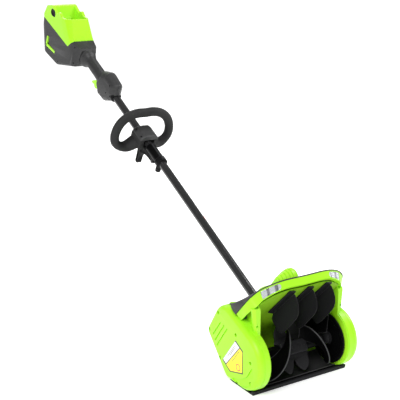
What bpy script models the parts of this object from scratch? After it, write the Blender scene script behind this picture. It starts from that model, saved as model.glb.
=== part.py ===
# Cordless snow shovel: a belt-driven auger head with a hood and two lights, a two-piece shaft with a
# quick coupler, a loop handle, a trigger handle and a battery housing with an empty bay.
# Metres, +Z up. The head works towards -Y on its flat sole; the shaft rises towards +Y.
import math

import bpy
import bmesh
from mathutils import Matrix, Vector

for existing in list(bpy.data.objects):
    bpy.data.objects.remove(existing, do_unlink=True)

# ---------------------------------------------------------------- driving dimensions
gap = 0.0003                     # between touching pieces

headHalf = 0.1320                # half width of the scoop between its side plates
plateThick = 0.0030
plateInner = headHalf + gap
plateOuter = plateInner + plateThick
coverInner = plateOuter + gap
coverOuter = 0.1700
coverWall = 0.0030

augerY, augerZ = 0.0370, 0.0860
augerRadius = 0.0730
scoopRadius = 0.0785
wallThick = 0.0030
wallTilt = math.radians(37.0)    # angle of the tangent point where the scoop's arc turns straight

motorY, motorZ = 0.1280, 0.1930
motorRadius = 0.0350
motorPulleyRadius = 0.0140
augerPulleyRadius = 0.0448
beltMiddle = 0.1480              # distance of the belt's centre plane from the middle
beltWidth = 0.0080
beltThick = 0.0022

shaftAngle = math.radians(28.13)
shaftBaseY = -0.1085             # where the shaft's axis meets the ground plane
tubeRadius = 0.0130
tubeWall = 0.0016
shaftLowEnd = 0.2660             # stations along the shaft's axis, from its base point
shaftSplit = 1.0180
shaftHighEnd = 1.3800
sleeveLow, sleeveHigh = 0.9740, 1.0640
clampLow, clampHigh = 1.0780, 1.1420
neckEnd = 1.5880

leverPivot = (1.0220, -0.0255)   # along the shaft, off its axis
knobAlong = 0.9980
triggerPivot = (1.4640, -0.0290)

bayHalf = 0.0385                 # half width of the battery pocket
bayAxis = (0.2999, 0.9540)       # the way the battery slides, in Y and Z
bayFrontTop = (1.3525, 0.8800)
bayLength = 0.1064
bayDepth = 0.0950

# ---------------------------------------------------------------- materials
materials = {}
for label, colour, roughness, metallic in (
    ("lime_plastic", (0.430, 0.950, 0.025), 0.40, 0.0),
    ("dark_grey_plastic", (0.060, 0.060, 0.062), 0.50, 0.0),
    ("black_plastic", (0.012, 0.012, 0.012), 0.45, 0.0),
    ("black_rubber", (0.010, 0.010, 0.010), 0.80, 0.0),
    ("grip_rubber", (0.028, 0.028, 0.030), 0.75, 0.0),
    ("painted_tube", (0.035, 0.035, 0.037), 0.35, 0.3),
    ("steel", (0.560, 0.560, 0.570), 0.30, 1.0),
    ("motor_steel", (0.180, 0.180, 0.190), 0.40, 0.9),
    ("clear_lens", (0.900, 0.930, 0.950), 0.08, 0.0),
    ("light_board", (0.800, 0.800, 0.780), 0.30, 0.0),
    ("circuit_board", (0.020, 0.180, 0.060), 0.45, 0.0),
    ("cable_jacket", (0.020, 0.020, 0.022), 0.55, 0.0),
):
    entry = bpy.data.materials.new(label)
    entry.use_nodes = True
    shader = entry.node_tree.nodes["Principled BSDF"]
    shader.inputs["Base Color"].default_value = (*colour, 1.0)
    shader.inputs["Roughness"].default_value = roughness
    shader.inputs["Metallic"].default_value = metallic
    materials[label] = entry

shaftFrame = bpy.data.objects.new("shaft_frame", None)
shaftFrame.location = (0.0, shaftBaseY, 0.0)
shaftFrame.rotation_euler = (shaftAngle, 0.0, 0.0)
bpy.context.scene.collection.objects.link(shaftFrame)
shaftMatrix = Matrix.Translation((0.0, shaftBaseY, 0.0)) @ Matrix.Rotation(shaftAngle, 4, "X")


# ---------------------------------------------------------------- shape helpers
def tidy(bm):
    bmesh.ops.remove_doubles(bm, verts=bm.verts, dist=0.00002)
    bmesh.ops.dissolve_degenerate(bm, edges=bm.edges, dist=0.00002)
    bmesh.ops.recalc_face_normals(bm, faces=bm.faces)
    return bm


def loft(loops, ring=False):
    # skins a row of equal closed loops and caps both ends, or joins the last loop to the first
    bm = bmesh.new()
    rows = [[bm.verts.new(point) for point in loop] for loop in loops]
    count = len(rows[0])
    pairs = list(zip(rows, rows[1:])) + ([(rows[-1], rows[0])] if ring else [])
    for near, far in pairs:
        for i in range(count):
            j = (i + 1) % count
            bm.faces.new((near[i], near[j], far[j], far[i]))
    if not ring:
        bm.faces.new(rows[0])
        bm.faces.new(rows[-1])
    return tidy(bm)


def prism(outline, low, high):
    # an outline in Y and Z drawn out along X
    return loft([[(x, y, z) for y, z in outline] for x in (low, high)])


def block(low, high):
    x0, y0, z0 = low
    x1, y1, z1 = high
    return prism([(y0, z0), (y1, z0), (y1, z1), (y0, z1)], x0, x1)


def hull(circles, inset=0.0, step=12):
    # the outline of a band stretched round circles given as (y, z, radius)
    def reach(circle, angle):
        return circle[0] * math.cos(angle) + circle[1] * math.sin(angle) + circle[2]

    def spot(circle, angle):
        y, z, radius = circle
        return (y + (radius - inset) * math.cos(angle), z + (radius - inset) * math.sin(angle))

    points = []
    for degrees in range(0, 360, step):
        start, end = math.radians(degrees), math.radians(degrees + step)
        here = max(circles, key=lambda c: reach(c, start))
        there = max(circles, key=lambda c: reach(c, end))
        points.append(spot(here, start))
        if here is not there:
            low, high = start, end
            for _ in range(30):
                middle = (low + high) / 2
                if reach(here, middle) > reach(there, middle):
                    low = middle
                else:
                    high = middle
            points += [spot(here, low), spot(there, low)]
    return points


def turned(profile, axis="X", steps=24):
    # a closed profile of (radius, station) turned about an axis; a radius of 0 lies on the axis
    bm = bmesh.new()
    angles = [math.tau * i / steps for i in range(steps)]
    rings = []
    for radius, station in profile:
        spots = [(0.0, 0.0)] if radius == 0.0 else [
            (radius * math.cos(a), radius * math.sin(a)) for a in angles]
        place = {"X": lambda u, v: (station, u, v),
                 "Y": lambda u, v: (u, station, v),
                 "Z": lambda u, v: (u, v, station)}[axis]
        rings.append([bm.verts.new(place(u, v)) for u, v in spots])
    onAxis = profile[0][0] == 0.0
    pairs = list(zip(rings, rings[1:])) + ([] if onAxis else [(rings[-1], rings[0])])
    for near, far in pairs:
        for i in range(steps):
            j = (i + 1) % steps
            corners = [near[i % len(near)], near[j % len(near)], far[j % len(far)], far[i % len(far)]]
            bm.faces.new(list(dict.fromkeys(corners)))
    return tidy(bm)


def tube(inner, outer, low, high, axis="Y", steps=24):
    return turned([(inner, low), (outer, low), (outer, high), (inner, high)], axis, steps)


def rod(radius, low, high, axis="X", steps=24):
    return turned([(0.0, low), (radius, low), (radius, high), (0.0, high)], axis, steps)


def smooth(points, perSpan):
    # a Catmull-Rom curve through the given points
    spots = [Vector(point) for point in points]
    ends = [2 * spots[0] - spots[1]] + spots + [2 * spots[-1] - spots[-2]]
    result = []
    for a, b, c, d in zip(ends, ends[1:], ends[2:], ends[3:]):
        for i in range(perSpan):
            t = i / perSpan
            result.append(0.5 * (2 * b + (c - a) * t + (2 * a - 5 * b + 4 * c - d) * t ** 2
                                 + (3 * b - a - 3 * c + d) * t ** 3))
    return result + [spots[-1]]


def sweep(path, radius, up, sides):
    # a round bar along a path; up is a direction that the path never follows
    loops = []
    for i, spot in enumerate(path):
        before = path[max(i - 1, 0)]
        after = path[min(i + 1, len(path) - 1)]
        side = (after - before).cross(Vector(up)).normalized()
        rise = side.cross(after - before).normalized()
        loops.append([spot + radius * (math.cos(math.tau * k / sides) * side
                                       + math.sin(math.tau * k / sides) * rise) for k in range(sides)])
    return loft(loops)


def section(along, low, high, halfWidth, slant=0.0, count=20, power=2.5):
    # a rounded cross-section of a moulded handle, across the shaft, leaning by slant
    middle, half = (low + high) / 2, (high - low) / 2
    loop = []
    for i in range(count):
        angle = math.tau * i / count
        cosine, sine = math.cos(angle), math.sin(angle)
        x = halfWidth * math.copysign(abs(cosine) ** (2 / power), cosine)
        z = half * math.copysign(abs(sine) ** (2 / power), sine)
        loop.append((x, along + slant * z, middle + z))
    return loop


# ---------------------------------------------------------------- object helpers
def add(name, bm, material, parent=None, at=(0.0, 0.0, 0.0), sharp=35.0):
    mesh = bpy.data.meshes.new(name)
    bm.to_mesh(mesh)
    bm.free()
    mesh.materials.append(materials[material])
    mesh.shade_smooth()
    mesh.set_sharp_from_angle(angle=math.radians(sharp))
    thing = bpy.data.objects.new(name, mesh)
    thing.parent = parent
    thing.location = at
    bpy.context.scene.collection.objects.link(thing)
    return thing


def combine(thing, bm, operation="DIFFERENCE"):
    # cuts a shape out of a piece or joins one to it, in the piece's own frame, and returns that shape
    helper = add(f"{thing.name}_helper_{len(thing.modifiers)}", bm, "steel", thing.parent, thing.location)
    helper.hide_render = True
    helper.display_type = "WIRE"
    step = thing.modifiers.new(f"{operation.lower()}_{len(thing.modifiers)}", "BOOLEAN")
    step.operation = operation
    step.object = helper
    return helper


def soften(thing, width, segments=2, angle=40.0):
    step = thing.modifiers.new("soft_edges", "BEVEL")
    step.width = width
    step.segments = segments
    step.limit_method = "ANGLE"
    step.angle_limit = math.radians(angle)
    return thing


# ---------------------------------------------------------------- the head's side outline
# circles in Y and Z that the side plates and covers are stretched round
frontLobe = (0.0360, 0.0897, 0.0855)
motorLobe = (0.1220, 0.1580, 0.0560)
backLobe = (0.1880, 0.1180, 0.0220)
heelLobe = (0.1050, 0.0280, 0.0220)
cornerLobe = (0.0240, 0.2380, 0.0155)

wallNormal = (math.cos(wallTilt), math.sin(wallTilt))         # out of the hood's back, in Y and Z
wallRun = (-math.sin(wallTilt), math.cos(wallTilt))           # up the hood's wall
turnPoint = (augerY + scoopRadius * wallNormal[0], augerZ + scoopRadius * wallNormal[1])


# the front frame's path, from the middle to the shoulder's lower end: the upper front edge, the
# lower front edge, and how far the frame runs back
framePath = (
    ((0.0000, -0.0120, 0.3125), (0.0000, -0.0200, 0.2940), (0.0000, 0.0122, -0.0096)),
    ((0.0740, -0.0120, 0.3125), (0.0740, -0.0200, 0.2940), (0.0000, 0.0122, -0.0096)),
    ((0.1280, 0.0050, 0.2950), (0.1245, -0.0045, 0.2715), (-0.0010, 0.0122, -0.0096)),
    ((0.1570, 0.0180, 0.2720), (0.1445, 0.0065, 0.2490), (-0.0040, 0.0120, -0.0070)),
    ((0.1645, 0.0360, 0.2480), (0.1565, 0.0270, 0.2270), (-0.0100, 0.0100, -0.0030)),
    ((0.1620, 0.0740, 0.2090), (0.1575, 0.0580, 0.1960), (-0.0120, 0.0040, 0.0000)),
)


def frameStations(perSpan=3):
    # the frame's path as rows of (upper edge, lower edge, run back), from left to right
    uppers, lowers, backs = [smooth(column, perSpan) for column in zip(*framePath)]
    right = list(zip(uppers, lowers, backs))
    left = [tuple(Vector((-v.x, v.y, v.z)) for v in row) for row in reversed(right[1:])]
    return left + right


def frameAt(x):
    # the frame's row at a given distance from the middle, on the right
    rows = [row for row in frameStations(12) if row[0].x >= 0]
    for near, far in zip(rows, rows[1:]):
        if near[0].x <= x <= far[0].x:
            t = (x - near[0].x) / (far[0].x - near[0].x)
            return tuple(a.lerp(b, t) for a, b in zip(near, far))
    return rows[0]


# ---------------------------------------------------------------- hood
def buildHoodShell():
    arc = [math.radians(-46.0 + i * (math.degrees(wallTilt) + 46.0) / 10) for i in range(11)]
    loops = []
    for i in range(13):
        x = headHalf * (i - 6) / 6
        upper, lower, back = frameAt(abs(x))
        end = Vector((lower.y + 0.0092, lower.z - 0.0122))
        inner = [(augerY + scoopRadius * math.cos(a), augerZ + scoopRadius * math.sin(a)) for a in arc]
        outer = [(augerY + (scoopRadius + wallThick) * math.cos(a),
                  augerZ + (scoopRadius + wallThick) * math.sin(a)) for a in arc]
        inner.append((end.x - 0.0013, end.y - 0.0010))
        outer.append((end.x + 0.0011, end.y + 0.0008))
        loops.append([(x, y, z) for y, z in inner + outer[::-1]])
    add("hood_shell", loft(loops), "lime_plastic")


def buildFrontFrame():
    loops = []
    for upper, lower, back in frameStations():
        loops.append([upper, lower, lower + back * 0.92, upper + back])
    frame = add("front_frame", loft(loops), "lime_plastic")
    for side in (-1, 1):
        combine(frame, lightBlock(side, 0.0010, -0.20, 0.62))


def lightBlock(side, margin, near, far):
    # the shape of a light's pocket, or of what fills it, between two depths into the frame
    loops = []
    for i in range(5):
        upper, lower, back = frameAt(0.0800 + margin + (0.0480 - 2 * margin) * i / 4)
        across = (upper - lower).normalized()
        top, bottom = upper - across * (0.0006 + margin), lower + across * (0.0006 + margin)
        corners = [top + back * near, bottom + back * near, bottom + back * far, top + back * far]
        loops.append([(side * v.x, v.y, v.z) for v in corners])
    return loft(loops)


def buildLights():
    for side, word in ((-1, "left"), (1, "right")):
        lens = add(f"light_lens_{word}", lightBlock(side, 0.0014, 0.02, 0.20), "clear_lens")
        soften(lens, 0.0005, 1)
        add(f"light_board_{word}", lightBlock(side, 0.0020, 0.42, 0.56), "light_board")


def buildTopCover():
    # a thin roof from the frame's upper edge back over the motor housing, folding down at the sides
    thick = 0.0032
    outward = [Vector(v).normalized() for v in (
        (0, 0.62, 0.79), (0, 0.62, 0.79), (0.15, 0.60, 0.78), (0.62, 0.42, 0.66), (0.96, 0.1, 0.25),
        (1, 0, 0.05))]
    rearEdge = ((0.0, 0.0940, 0.2300), (0.074, 0.0940, 0.2300), (0.128, 0.0940, 0.2265),
                (0.152, 0.0980, 0.2270), (0.1585, 0.1010, 0.2250), (0.157, 0.1040, 0.2200))
    fronts = smooth([upper for upper, lower, back in framePath], 3)
    rears = smooth(rearEdge, 3)
    ups = smooth(outward, 3)
    right = []
    for front, rear, up in zip(fronts, rears, ups):
        lift = up.normalized() * (gap + 0.0002)
        top = up.normalized() * thick
        right.append([front + lift, front + lift + top, rear + lift + top, rear + lift])
    left = [[Vector((-v.x, v.y, v.z)) for v in loop] for loop in reversed(right[1:])]
    add("top_cover", loft(left + right), "dark_grey_plastic")


def buildVanes():
    # a bent plate: a foot along the hood's wall, and a fin that guides the snow
    lean = math.radians(18.0)
    fin = [(0.000, 0.004), (-0.015, 0.016), (-0.013, 0.060), (0.002, 0.064), (0.056, 0.060),
           (0.069, 0.054), (0.081, 0.040), (0.092, 0.004)]
    off = Vector((0.0, -wallNormal[0], -wallNormal[1]))
    up = Vector((math.sin(lean), math.cos(lean) * wallRun[0], math.cos(lean) * wallRun[1]))
    side = up.cross(off).normalized()
    start = Vector((0.0, turnPoint[0], turnPoint[1])) + 0.094 * Vector((0, *wallRun))
    for word, x in (("left", -0.0650), ("middle", -0.0030), ("right", 0.0590)):
        base = start + Vector((x, 0, 0)) + off * 0.0018
        loops = [[base + up * s + off * h + side * w for s, h in fin] for w in (-0.0013, 0.0013)]
        vane = add(f"vane_{word}", loft(loops), "black_plastic")
        foot = [[base + up * s + off * h + side * w for w, h in
                 ((-0.0060, 0.0), (0.0060, 0.0), (0.0060, 0.0030), (0.0020, 0.0055), (-0.0020, 0.0055),
                  (-0.0060, 0.0030))] for s in (-0.004, 0.094)]
        combine(vane, loft(foot), "UNION")


# ---------------------------------------------------------------- sides, sole and rear housing
def buildSidePlates():
    for side, word in ((-1, "left"), (1, "right")):
        motor = (*motorLobe[:2], motorLobe[2] - 0.008)
        low, high = sorted((side * plateInner, side * plateOuter))
        lower = prism(hull([(*frontLobe[:2], frontLobe[2] - 0.002), motor]), low, high)
        plate = add(f"{word}_side_plate", lower, "lime_plastic")
        combine(plate, prism(hull([(0.0150, 0.1550, 0.0110), (*cornerLobe[:2], 0.0155), motor]), low, high), "UNION")
        inner, outer = sorted((side * plateInner, side * 0.1500))
        combine(plate, block((inner, 0.0060, 0.1790), (outer, 0.0160, 0.2290)), "UNION")
        hole = rod(0.0133, side * 0.14 - 0.02, side * 0.14 + 0.02)
        hole.transform(Matrix.Translation((0.0, augerY, augerZ)))
        combine(plate, hole)
        if side < 0:
            shaftHole = rod(0.0088, -0.16, -0.12)
            shaftHole.transform(Matrix.Translation((0.0, motorY, motorZ)))
            combine(plate, shaftHole)


def stack(rows, circles, side=1):
    # a hull's outline carried through stations along X, each with its own inset
    return loft([[(side * x, y, z) for y, z in hull(circles, inset)] for x, inset in rows])


coverRows = ((coverInner, 0.0), (0.1590, 0.0), (0.1645, 0.0012), (0.1682, 0.0040), (coverOuter, 0.0085))
hollowRows = ((coverInner - 0.0020, coverWall), (0.1590, coverWall), (0.1670, 0.0070))


def buildSideCovers():
    for name, side, circles in (
            ("belt_cover", -1, [frontLobe, motorLobe, backLobe, heelLobe]),
            ("right_side_cover", 1, [frontLobe, (0.1050, 0.1450, 0.0480), heelLobe])):
        cover = add(name, stack(coverRows, circles, side), "lime_plastic")
        combine(cover, stack(hollowRows, circles, side))


def buildSole():
    outline = [(-0.0060, 0.0), (0.0940, 0.0), (0.1040, 0.0020), (0.1040, 0.0035), (0.0060, 0.0035),
               (0.0020, 0.0100), (-0.0080, 0.0110), (-0.0080, 0.0040)]
    add("sole_plate", prism(outline, -0.1600, 0.1600), "black_plastic")
    arc = [math.radians(-114.0 + i * 66.0 / 8) for i in range(9)]
    loop = [(augerY + scoopRadius * math.cos(a), augerZ + scoopRadius * math.sin(a)) for a in arc]
    loop += [(augerY + (scoopRadius + 0.0018) * math.cos(a), augerZ + (scoopRadius + 0.0018) * math.sin(a))
             for a in reversed(arc)]
    add("scoop_floor", prism(loop, -headHalf, headHalf), "dark_grey_plastic")


rearCircles = [(0.1220, 0.1580, 0.0500), (0.1800, 0.1200, 0.0220), (0.1120, 0.0450, 0.0250)]
turretCircles = [(motorY, motorZ, 0.0460), (0.1500, 0.1400, 0.0400)]


def hoodSpace(clearance):
    # everything in front of the hood's back wall, as an outline
    reach = scoopRadius + wallThick + clearance
    arc = [math.radians(-100.0 + i * (math.degrees(wallTilt) + 100.0) / 16) for i in range(17)]
    loop = [(augerY + reach * math.cos(a), augerZ + reach * math.sin(a)) for a in arc]
    loop.append((loop[-1][0] + 0.25 * wallRun[0], loop[-1][1] + 0.25 * wallRun[1]))
    return loop + [(-0.15, loop[-1][1]), (-0.15, loop[0][1])]


def buildRearHousing():
    wall = 0.0030
    half = headHalf - gap
    housing = add("rear_housing", prism(hull(rearCircles), -half, half), "lime_plastic")
    outer = ((-0.0560, 0.0280), (-0.0200, 0.0), (0.0720, 0.0), (0.1080, 0.0280))
    inner = ((-0.0520, 0.0310), (-0.0185, wall), (0.0705, wall), (0.1040, 0.0310))
    combine(housing, stack(outer, turretCircles), "UNION")
    combine(housing, prism(hull(rearCircles, wall), -half + wall, half - wall))
    combine(housing, stack(inner, turretCircles))
    combine(housing, prism(hoodSpace(0.0006), -0.2, 0.2))
    opening = rod(0.0170, 0.3000, 0.5000, "Y")
    opening.transform(shaftMatrix)
    combine(housing, opening)
    bore = rod(0.0125, -0.1350, -0.1200)
    bore.transform(Matrix.Translation((0.0, motorY, motorZ)))
    combine(housing, bore)


def buildMotorCover():
    # the ribbed dome over the motor's cooling intake, to the right of the shaft
    circles = [(0.1080, 0.2600, 0.0280), (0.1400, 0.2250, 0.0240)]
    skin = ((-0.0050, 0.0190), (0.0050, 0.0110), (0.0170, 0.0040), (0.0300, 0.0), (0.0480, 0.0),
            (0.0540, 0.0030), (0.0580, 0.0090))
    cover = add("motor_cover", stack(skin, circles), "lime_plastic")
    combine(cover, stack([(x * 0.93 + 0.0024, inset + 0.0026) for x, inset in skin], circles))
    combine(cover, prism(hull([(y, z, r + 0.0005) for y, z, r in turretCircles]), -0.1, 0.1))
    roof = [(0.0000, 0.3080), (0.0985, 0.2330), (0.0985, 0.1800), (0.0000, 0.1800)]
    combine(cover, prism(roof, -0.1, 0.1))


# ---------------------------------------------------------------- motor, belt and auger
def buildDrive():
    motor = (0.0, motorY, motorZ)
    auger = (0.0, augerY, augerZ)
    add("motor_can", turned([(0.0060, -0.010), (motorRadius, -0.010), (motorRadius, 0.064), (0.0060, 0.064),
                             (0.0060, 0.061), (0.0315, 0.061), (0.0315, -0.007), (0.0060, -0.007)]),
        "motor_steel", at=motor)
    add("motor_rotor", turned([(0.0, -0.1560), (0.0040, -0.1560), (0.0040, -0.002), (0.0290, -0.002),
                               (0.0290, 0.056), (0.0040, 0.056), (0.0040, 0.062), (0.0, 0.062)], steps=24),
        "steel", at=motor)
    add("motor_bearing", tube(0.0043, 0.0085, -0.1385, -0.1325, "X", 24), "steel", at=motor)
    for word, low in (("left", -0.1395), ("right", 0.1325)):
        add(f"auger_bearing_{word}", tube(0.0063, 0.0130, low, low + 0.0070, "X", 24), "steel", at=auger)

    def pulley(name, radius, bore, at):
        low, high = -beltMiddle - 0.0060, -beltMiddle + 0.0060
        seat = radius - beltThick / 2 - gap
        rim = radius + 0.0022
        profile = [(bore, low), (rim, low), (rim, low + 0.0014), (seat, low + 0.0014),
                   (seat, high - 0.0014), (rim, high - 0.0014), (rim, high), (bore, high)]
        add(name, turned(profile, steps=36), "black_plastic", at=at)

    pulley("motor_pulley", motorPulleyRadius, 0.0043, motor)
    pulley("auger_pulley", augerPulleyRadius, 0.0063, auger)

    circles = [(motorY, motorZ, motorPulleyRadius), (augerY, augerZ, augerPulleyRadius)]
    outer, inner = [hull([(y, z, r + s * beltThick / 2) for y, z, r in circles], step=9) for s in (1, -1)]
    half = beltWidth / 2
    corners = ((outer, -half), (outer, half), (inner, half), (inner, -half))
    loops = [[(-beltMiddle + x, *line[i]) for line, x in corners] for i in range(len(outer))]
    add("drive_belt", loft(loops, ring=True), "black_rubber")

    add("auger_shaft", rod(0.0060, -0.1570, 0.1480), "steel", at=auger)
    add("auger_hub", tube(0.0063, 0.0160, -0.1220, 0.1220, "X", 28), "black_plastic", at=auger)
    for word, side in (("left", -1), ("right", 1)):
        low, high = sorted((side * 0.1262, side * 0.1296))
        add(f"auger_disc_{word}", tube(0.0063, augerRadius, low, high, "X", 36), "black_plastic", at=auger)
        for number, turn in ((1, 95.0), (2, 275.0)):
            add(f"auger_flight_{word}_{number}", flight(side, turn), "black_rubber", at=auger)
    tongues = ((-0.0500, 0.0300), (-0.0460, 0.0164), (0.0400, 0.0164), (0.0440, 0.0300), (0.0410, 0.0520),
               (0.0230, 0.0700), (0.0070, 0.0560), (-0.0040, 0.0340), (-0.0120, 0.0560), (-0.0260, 0.0700),
               (-0.0440, 0.0520))
    for number, turn in ((1, 62.0), (2, 242.0)):
        paddle = loft([[(x, radius, w) for x, radius in tongues] for w in (-0.0022, 0.0022)])
        paddle.transform(Matrix.Rotation(math.radians(turn), 4, "X"))
        soften(add(f"auger_paddle_{number}", paddle, "black_rubber", at=auger), 0.0012, 1)


def flight(side, startTurn):
    # half a turn of a screw blade, from near the middle out to the end disc
    thick = 0.0034
    loops = []
    steps = 24
    for i in range(steps + 1):
        t = i / steps
        x = side * (0.0225 + (0.1225 - 0.0225) * t)
        angle = math.radians(startTurn + 180.0 * t)
        tip = augerRadius - 0.0010 - 0.008 * max(0.0, 1 - t * 8)
        corners = ((0.0164, -1), (tip, -0.6), (tip, 0.6), (0.0164, 1))
        loops.append([(x + w * thick / 2, r * math.cos(angle), r * math.sin(angle)) for r, w in corners])
    return loft(loops)


# ---------------------------------------------------------------- shaft, coupler and loop handle
def buildShaft():
    socket = [(0.0133, 0.2590), (0.0290, 0.2590), (0.0290, 0.2630), (0.0165, 0.2660), (0.0165, 0.3620),
              (0.0150, 0.3640), (0.0133, 0.3640)]
    add("shaft_socket", turned(socket, "Y"), "black_plastic", shaftFrame)
    inner = tubeRadius - tubeWall
    add("lower_shaft", tube(inner, tubeRadius, shaftLowEnd, shaftSplit - gap), "painted_tube", shaftFrame)
    add("upper_shaft", tube(inner, tubeRadius, shaftSplit + gap, shaftHighEnd), "painted_tube", shaftFrame)
    sleeve = [(0.0133, sleeveLow), (0.0185, sleeveLow), (0.0195, sleeveLow + 0.002),
              (0.0195, sleeveLow + 0.016), (0.0170, sleeveLow + 0.019), (0.0170, sleeveHigh - 0.002),
              (0.0160, sleeveHigh), (0.0133, sleeveHigh)]
    coupler = add("coupler_sleeve", turned(sleeve, "Y"), "black_plastic", shaftFrame)
    tab = block((-0.0040, sleeveLow + 0.0010, 0.0150), (0.0040, sleeveLow + 0.0120, 0.0270))
    combine(coupler, tab, "UNION")
    for side in (-1, 1):
        low, high = sorted((side * 0.0085, side * 0.0125))
        ear = prism(hull([(leverPivot[0], leverPivot[1], 0.0060), (leverPivot[0], -0.0145, 0.0080)]), low, high)
        combine(coupler, ear, "UNION")
    boss = rod(0.0072, -0.0225, -0.0150, "Z")
    boss.transform(Matrix.Translation((0.0, knobAlong - 0.010, 0.0)))
    combine(coupler, boss, "UNION")
    pinHole = rod(0.0024, -0.02, 0.02)
    pinHole.transform(Matrix.Translation((0.0, *leverPivot)))
    combine(coupler, pinHole)
    combine(coupler, rod(0.0133, sleeveLow - 0.01, sleeveHigh + 0.01, "Y", 24))


def buildCouplerLever():
    # an over-centre lever under the sleeve, with a finger prong at its free end
    pivotAlong, pivotOff = leverPivot
    outline = [(1.0160, -0.0200), (1.1000, -0.0200), (1.1290, -0.0225), (1.1290, -0.0400),
               (1.1190, -0.0590), (1.1185, -0.1010), (1.1010, -0.1010), (1.1015, -0.0720),
               (1.0950, -0.0540), (1.0840, -0.0440), (1.0660, -0.0370), (1.0460, -0.0340),
               (1.0180, -0.0325), (1.0140, -0.0270)]
    shape = prism([(a - pivotAlong, n - pivotOff) for a, n in outline], -0.0080, 0.0080)
    lever = add("coupler_lever", shape, "black_plastic", shaftFrame, (0.0, *leverPivot))
    soften(lever, 0.0018, 2, 25.0)
    combine(lever, rod(0.0024, -0.02, 0.02))
    add("lever_pin", rod(0.0021, -0.0135, 0.0135, steps=16), "steel", shaftFrame, (0.0, *leverPivot))
    grip = [(0.0, -0.0420), (0.0075, -0.0420), (0.0095, -0.0400), (0.0095, -0.0250), (0.0080, -0.0230),
            (0.0, -0.0230)]
    add("coupler_knob", turned(grip, "Z", 24), "black_plastic", shaftFrame, (0.0, knobAlong - 0.010, 0.0))


def buildLoopHandle():
    halfLoop = ((0.0000, 0.0840), (0.0300, 0.0845), (0.0580, 0.0775), (0.0820, 0.0610), (0.0970, 0.0380),
                (0.1035, 0.0100), (0.0990, -0.0150), (0.0830, -0.0310), (0.0600, -0.0330), (0.0360, -0.0180),
                (0.0160, -0.0040))
    right = smooth([(x, 1.1300 + 0.15 * off, off) for x, off in halfLoop], 3)
    left = [Vector((-v.x, v.y, v.z)) for v in reversed(right[1:])]
    bar = sweep(left + right, 0.0152, (0.0, 1.0, -0.15), sides=12)
    handle = add("loop_handle", bar, "grip_rubber", shaftFrame)
    hub = block((-0.0340, clampLow, -0.0175), (0.0340, clampHigh, 0.0160))
    combine(handle, hub, "UNION")
    combine(handle, rod(0.0133, 1.05, 1.17, "Y", 24))
    combine(handle, block((-0.0345, clampLow - 0.02, 0.0160), (0.0345, clampHigh + 0.005, 0.0400)))
    cover = add("clamp_cover", block((-0.0335, clampLow + 0.001, 0.0163), (0.0335, clampHigh - 0.001, 0.0310)),
                "dark_grey_plastic", shaftFrame)
    soften(cover, 0.0040, 3)


# ---------------------------------------------------------------- trigger handle
handleSections = (      # along, lowest, highest, half width, slant
    (1.3520, -0.0490, 0.0470, 0.0170, -0.73),
    (1.3590, -0.0580, 0.0550, 0.0230, -0.72),
    (1.3890, -0.0680, 0.0610, 0.0265, -0.60),
    (1.4250, -0.0690, 0.0590, 0.0265, -0.45),
    (1.4500, -0.0560, 0.0490, 0.0240, -0.40),
    (1.4690, -0.0330, 0.0320, 0.0210, -0.40),
    (1.4880, -0.0225, 0.0225, 0.0195, -0.15),
    (1.5400, -0.0215, 0.0215, 0.0190, 0.0),
    (1.5620, -0.0290, 0.0250, 0.0230, 0.0),
    (neckEnd, -0.0420, 0.0310, 0.0300, 0.0),
)


def buildTriggerHandle():
    wall = 0.0027
    for side, word in ((-1, "left"), (1, "right")):
        outer = [section(a, low, high, half, slant) for a, low, high, half, slant in handleSections]
        inner = [section(a, low + wall, high - wall, half - wall, slant)
                 for a, low, high, half, slant in handleSections]
        inner[0] = [(x, y + 0.0035, z) for x, y, z in inner[0]]
        inner[-1] = [(x, y + 0.0050, z) for x, y, z in inner[-1]]
        handle = add(f"handle_{word}", loft(outer), "dark_grey_plastic", shaftFrame)
        combine(handle, loft(inner))
        combine(handle, rod(0.0133, 1.25, shaftHighEnd + gap, "Y", 24))
        combine(handle, block((-0.0068, 1.4540, -0.0900), (0.0068, 1.5000, -0.0160)))
        if side > 0:
            button = rod(0.0073, 0.0100, 0.0400)
            button.transform(Matrix.Translation((0.0, 1.4200, 0.0250)))
            combine(handle, button)
        low, high = sorted((-side * 0.1, side * gap / 2))
        combine(handle, block((low, 1.2, -0.2), (high, 1.7, 0.2)))


def buildTriggerParts():
    along, off = triggerPivot
    outline = [(1.4600, -0.0250), (1.4740, -0.0250), (1.4900, -0.0330), (1.5040, -0.0430), (1.5130, -0.0520),
               (1.5120, -0.0570), (1.5040, -0.0570), (1.4950, -0.0545), (1.4880, -0.0610),
               (1.4790, -0.0620), (1.4700, -0.0560), (1.4620, -0.0440)]
    shape = prism([(a - along, n - off) for a, n in outline], -0.0060, 0.0060)
    trigger = add("trigger", shape, "lime_plastic", shaftFrame, (0.0, *triggerPivot))
    soften(trigger, 0.0012, 2, 25.0)
    add("trigger_switch", block((-0.0075, 1.4180, -0.0420), (0.0075, 1.4480, -0.0200)), "black_plastic",
        shaftFrame)
    button = turned([(0.0, -0.0150), (0.0070, -0.0150), (0.0070, 0.0025), (0.0060, 0.0035), (0.0, 0.0035)],
                    steps=20)
    add("lock_off_button", button, "black_plastic", shaftFrame, (0.0260, 1.4200, 0.0250))
    turns, perTurn = 4, 9
    coil = [Vector((0.0030 * math.cos(math.tau * i / perTurn), 1.4510 + 0.0075 * i / (turns * perTurn),
                    -0.0330 + 0.0030 * math.sin(math.tau * i / perTurn))) for i in range(turns * perTurn + 1)]
    add("trigger_spring", sweep(coil, 0.0004, (0.0, 1.0, 0.0), sides=5), "steel", shaftFrame)


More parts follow.
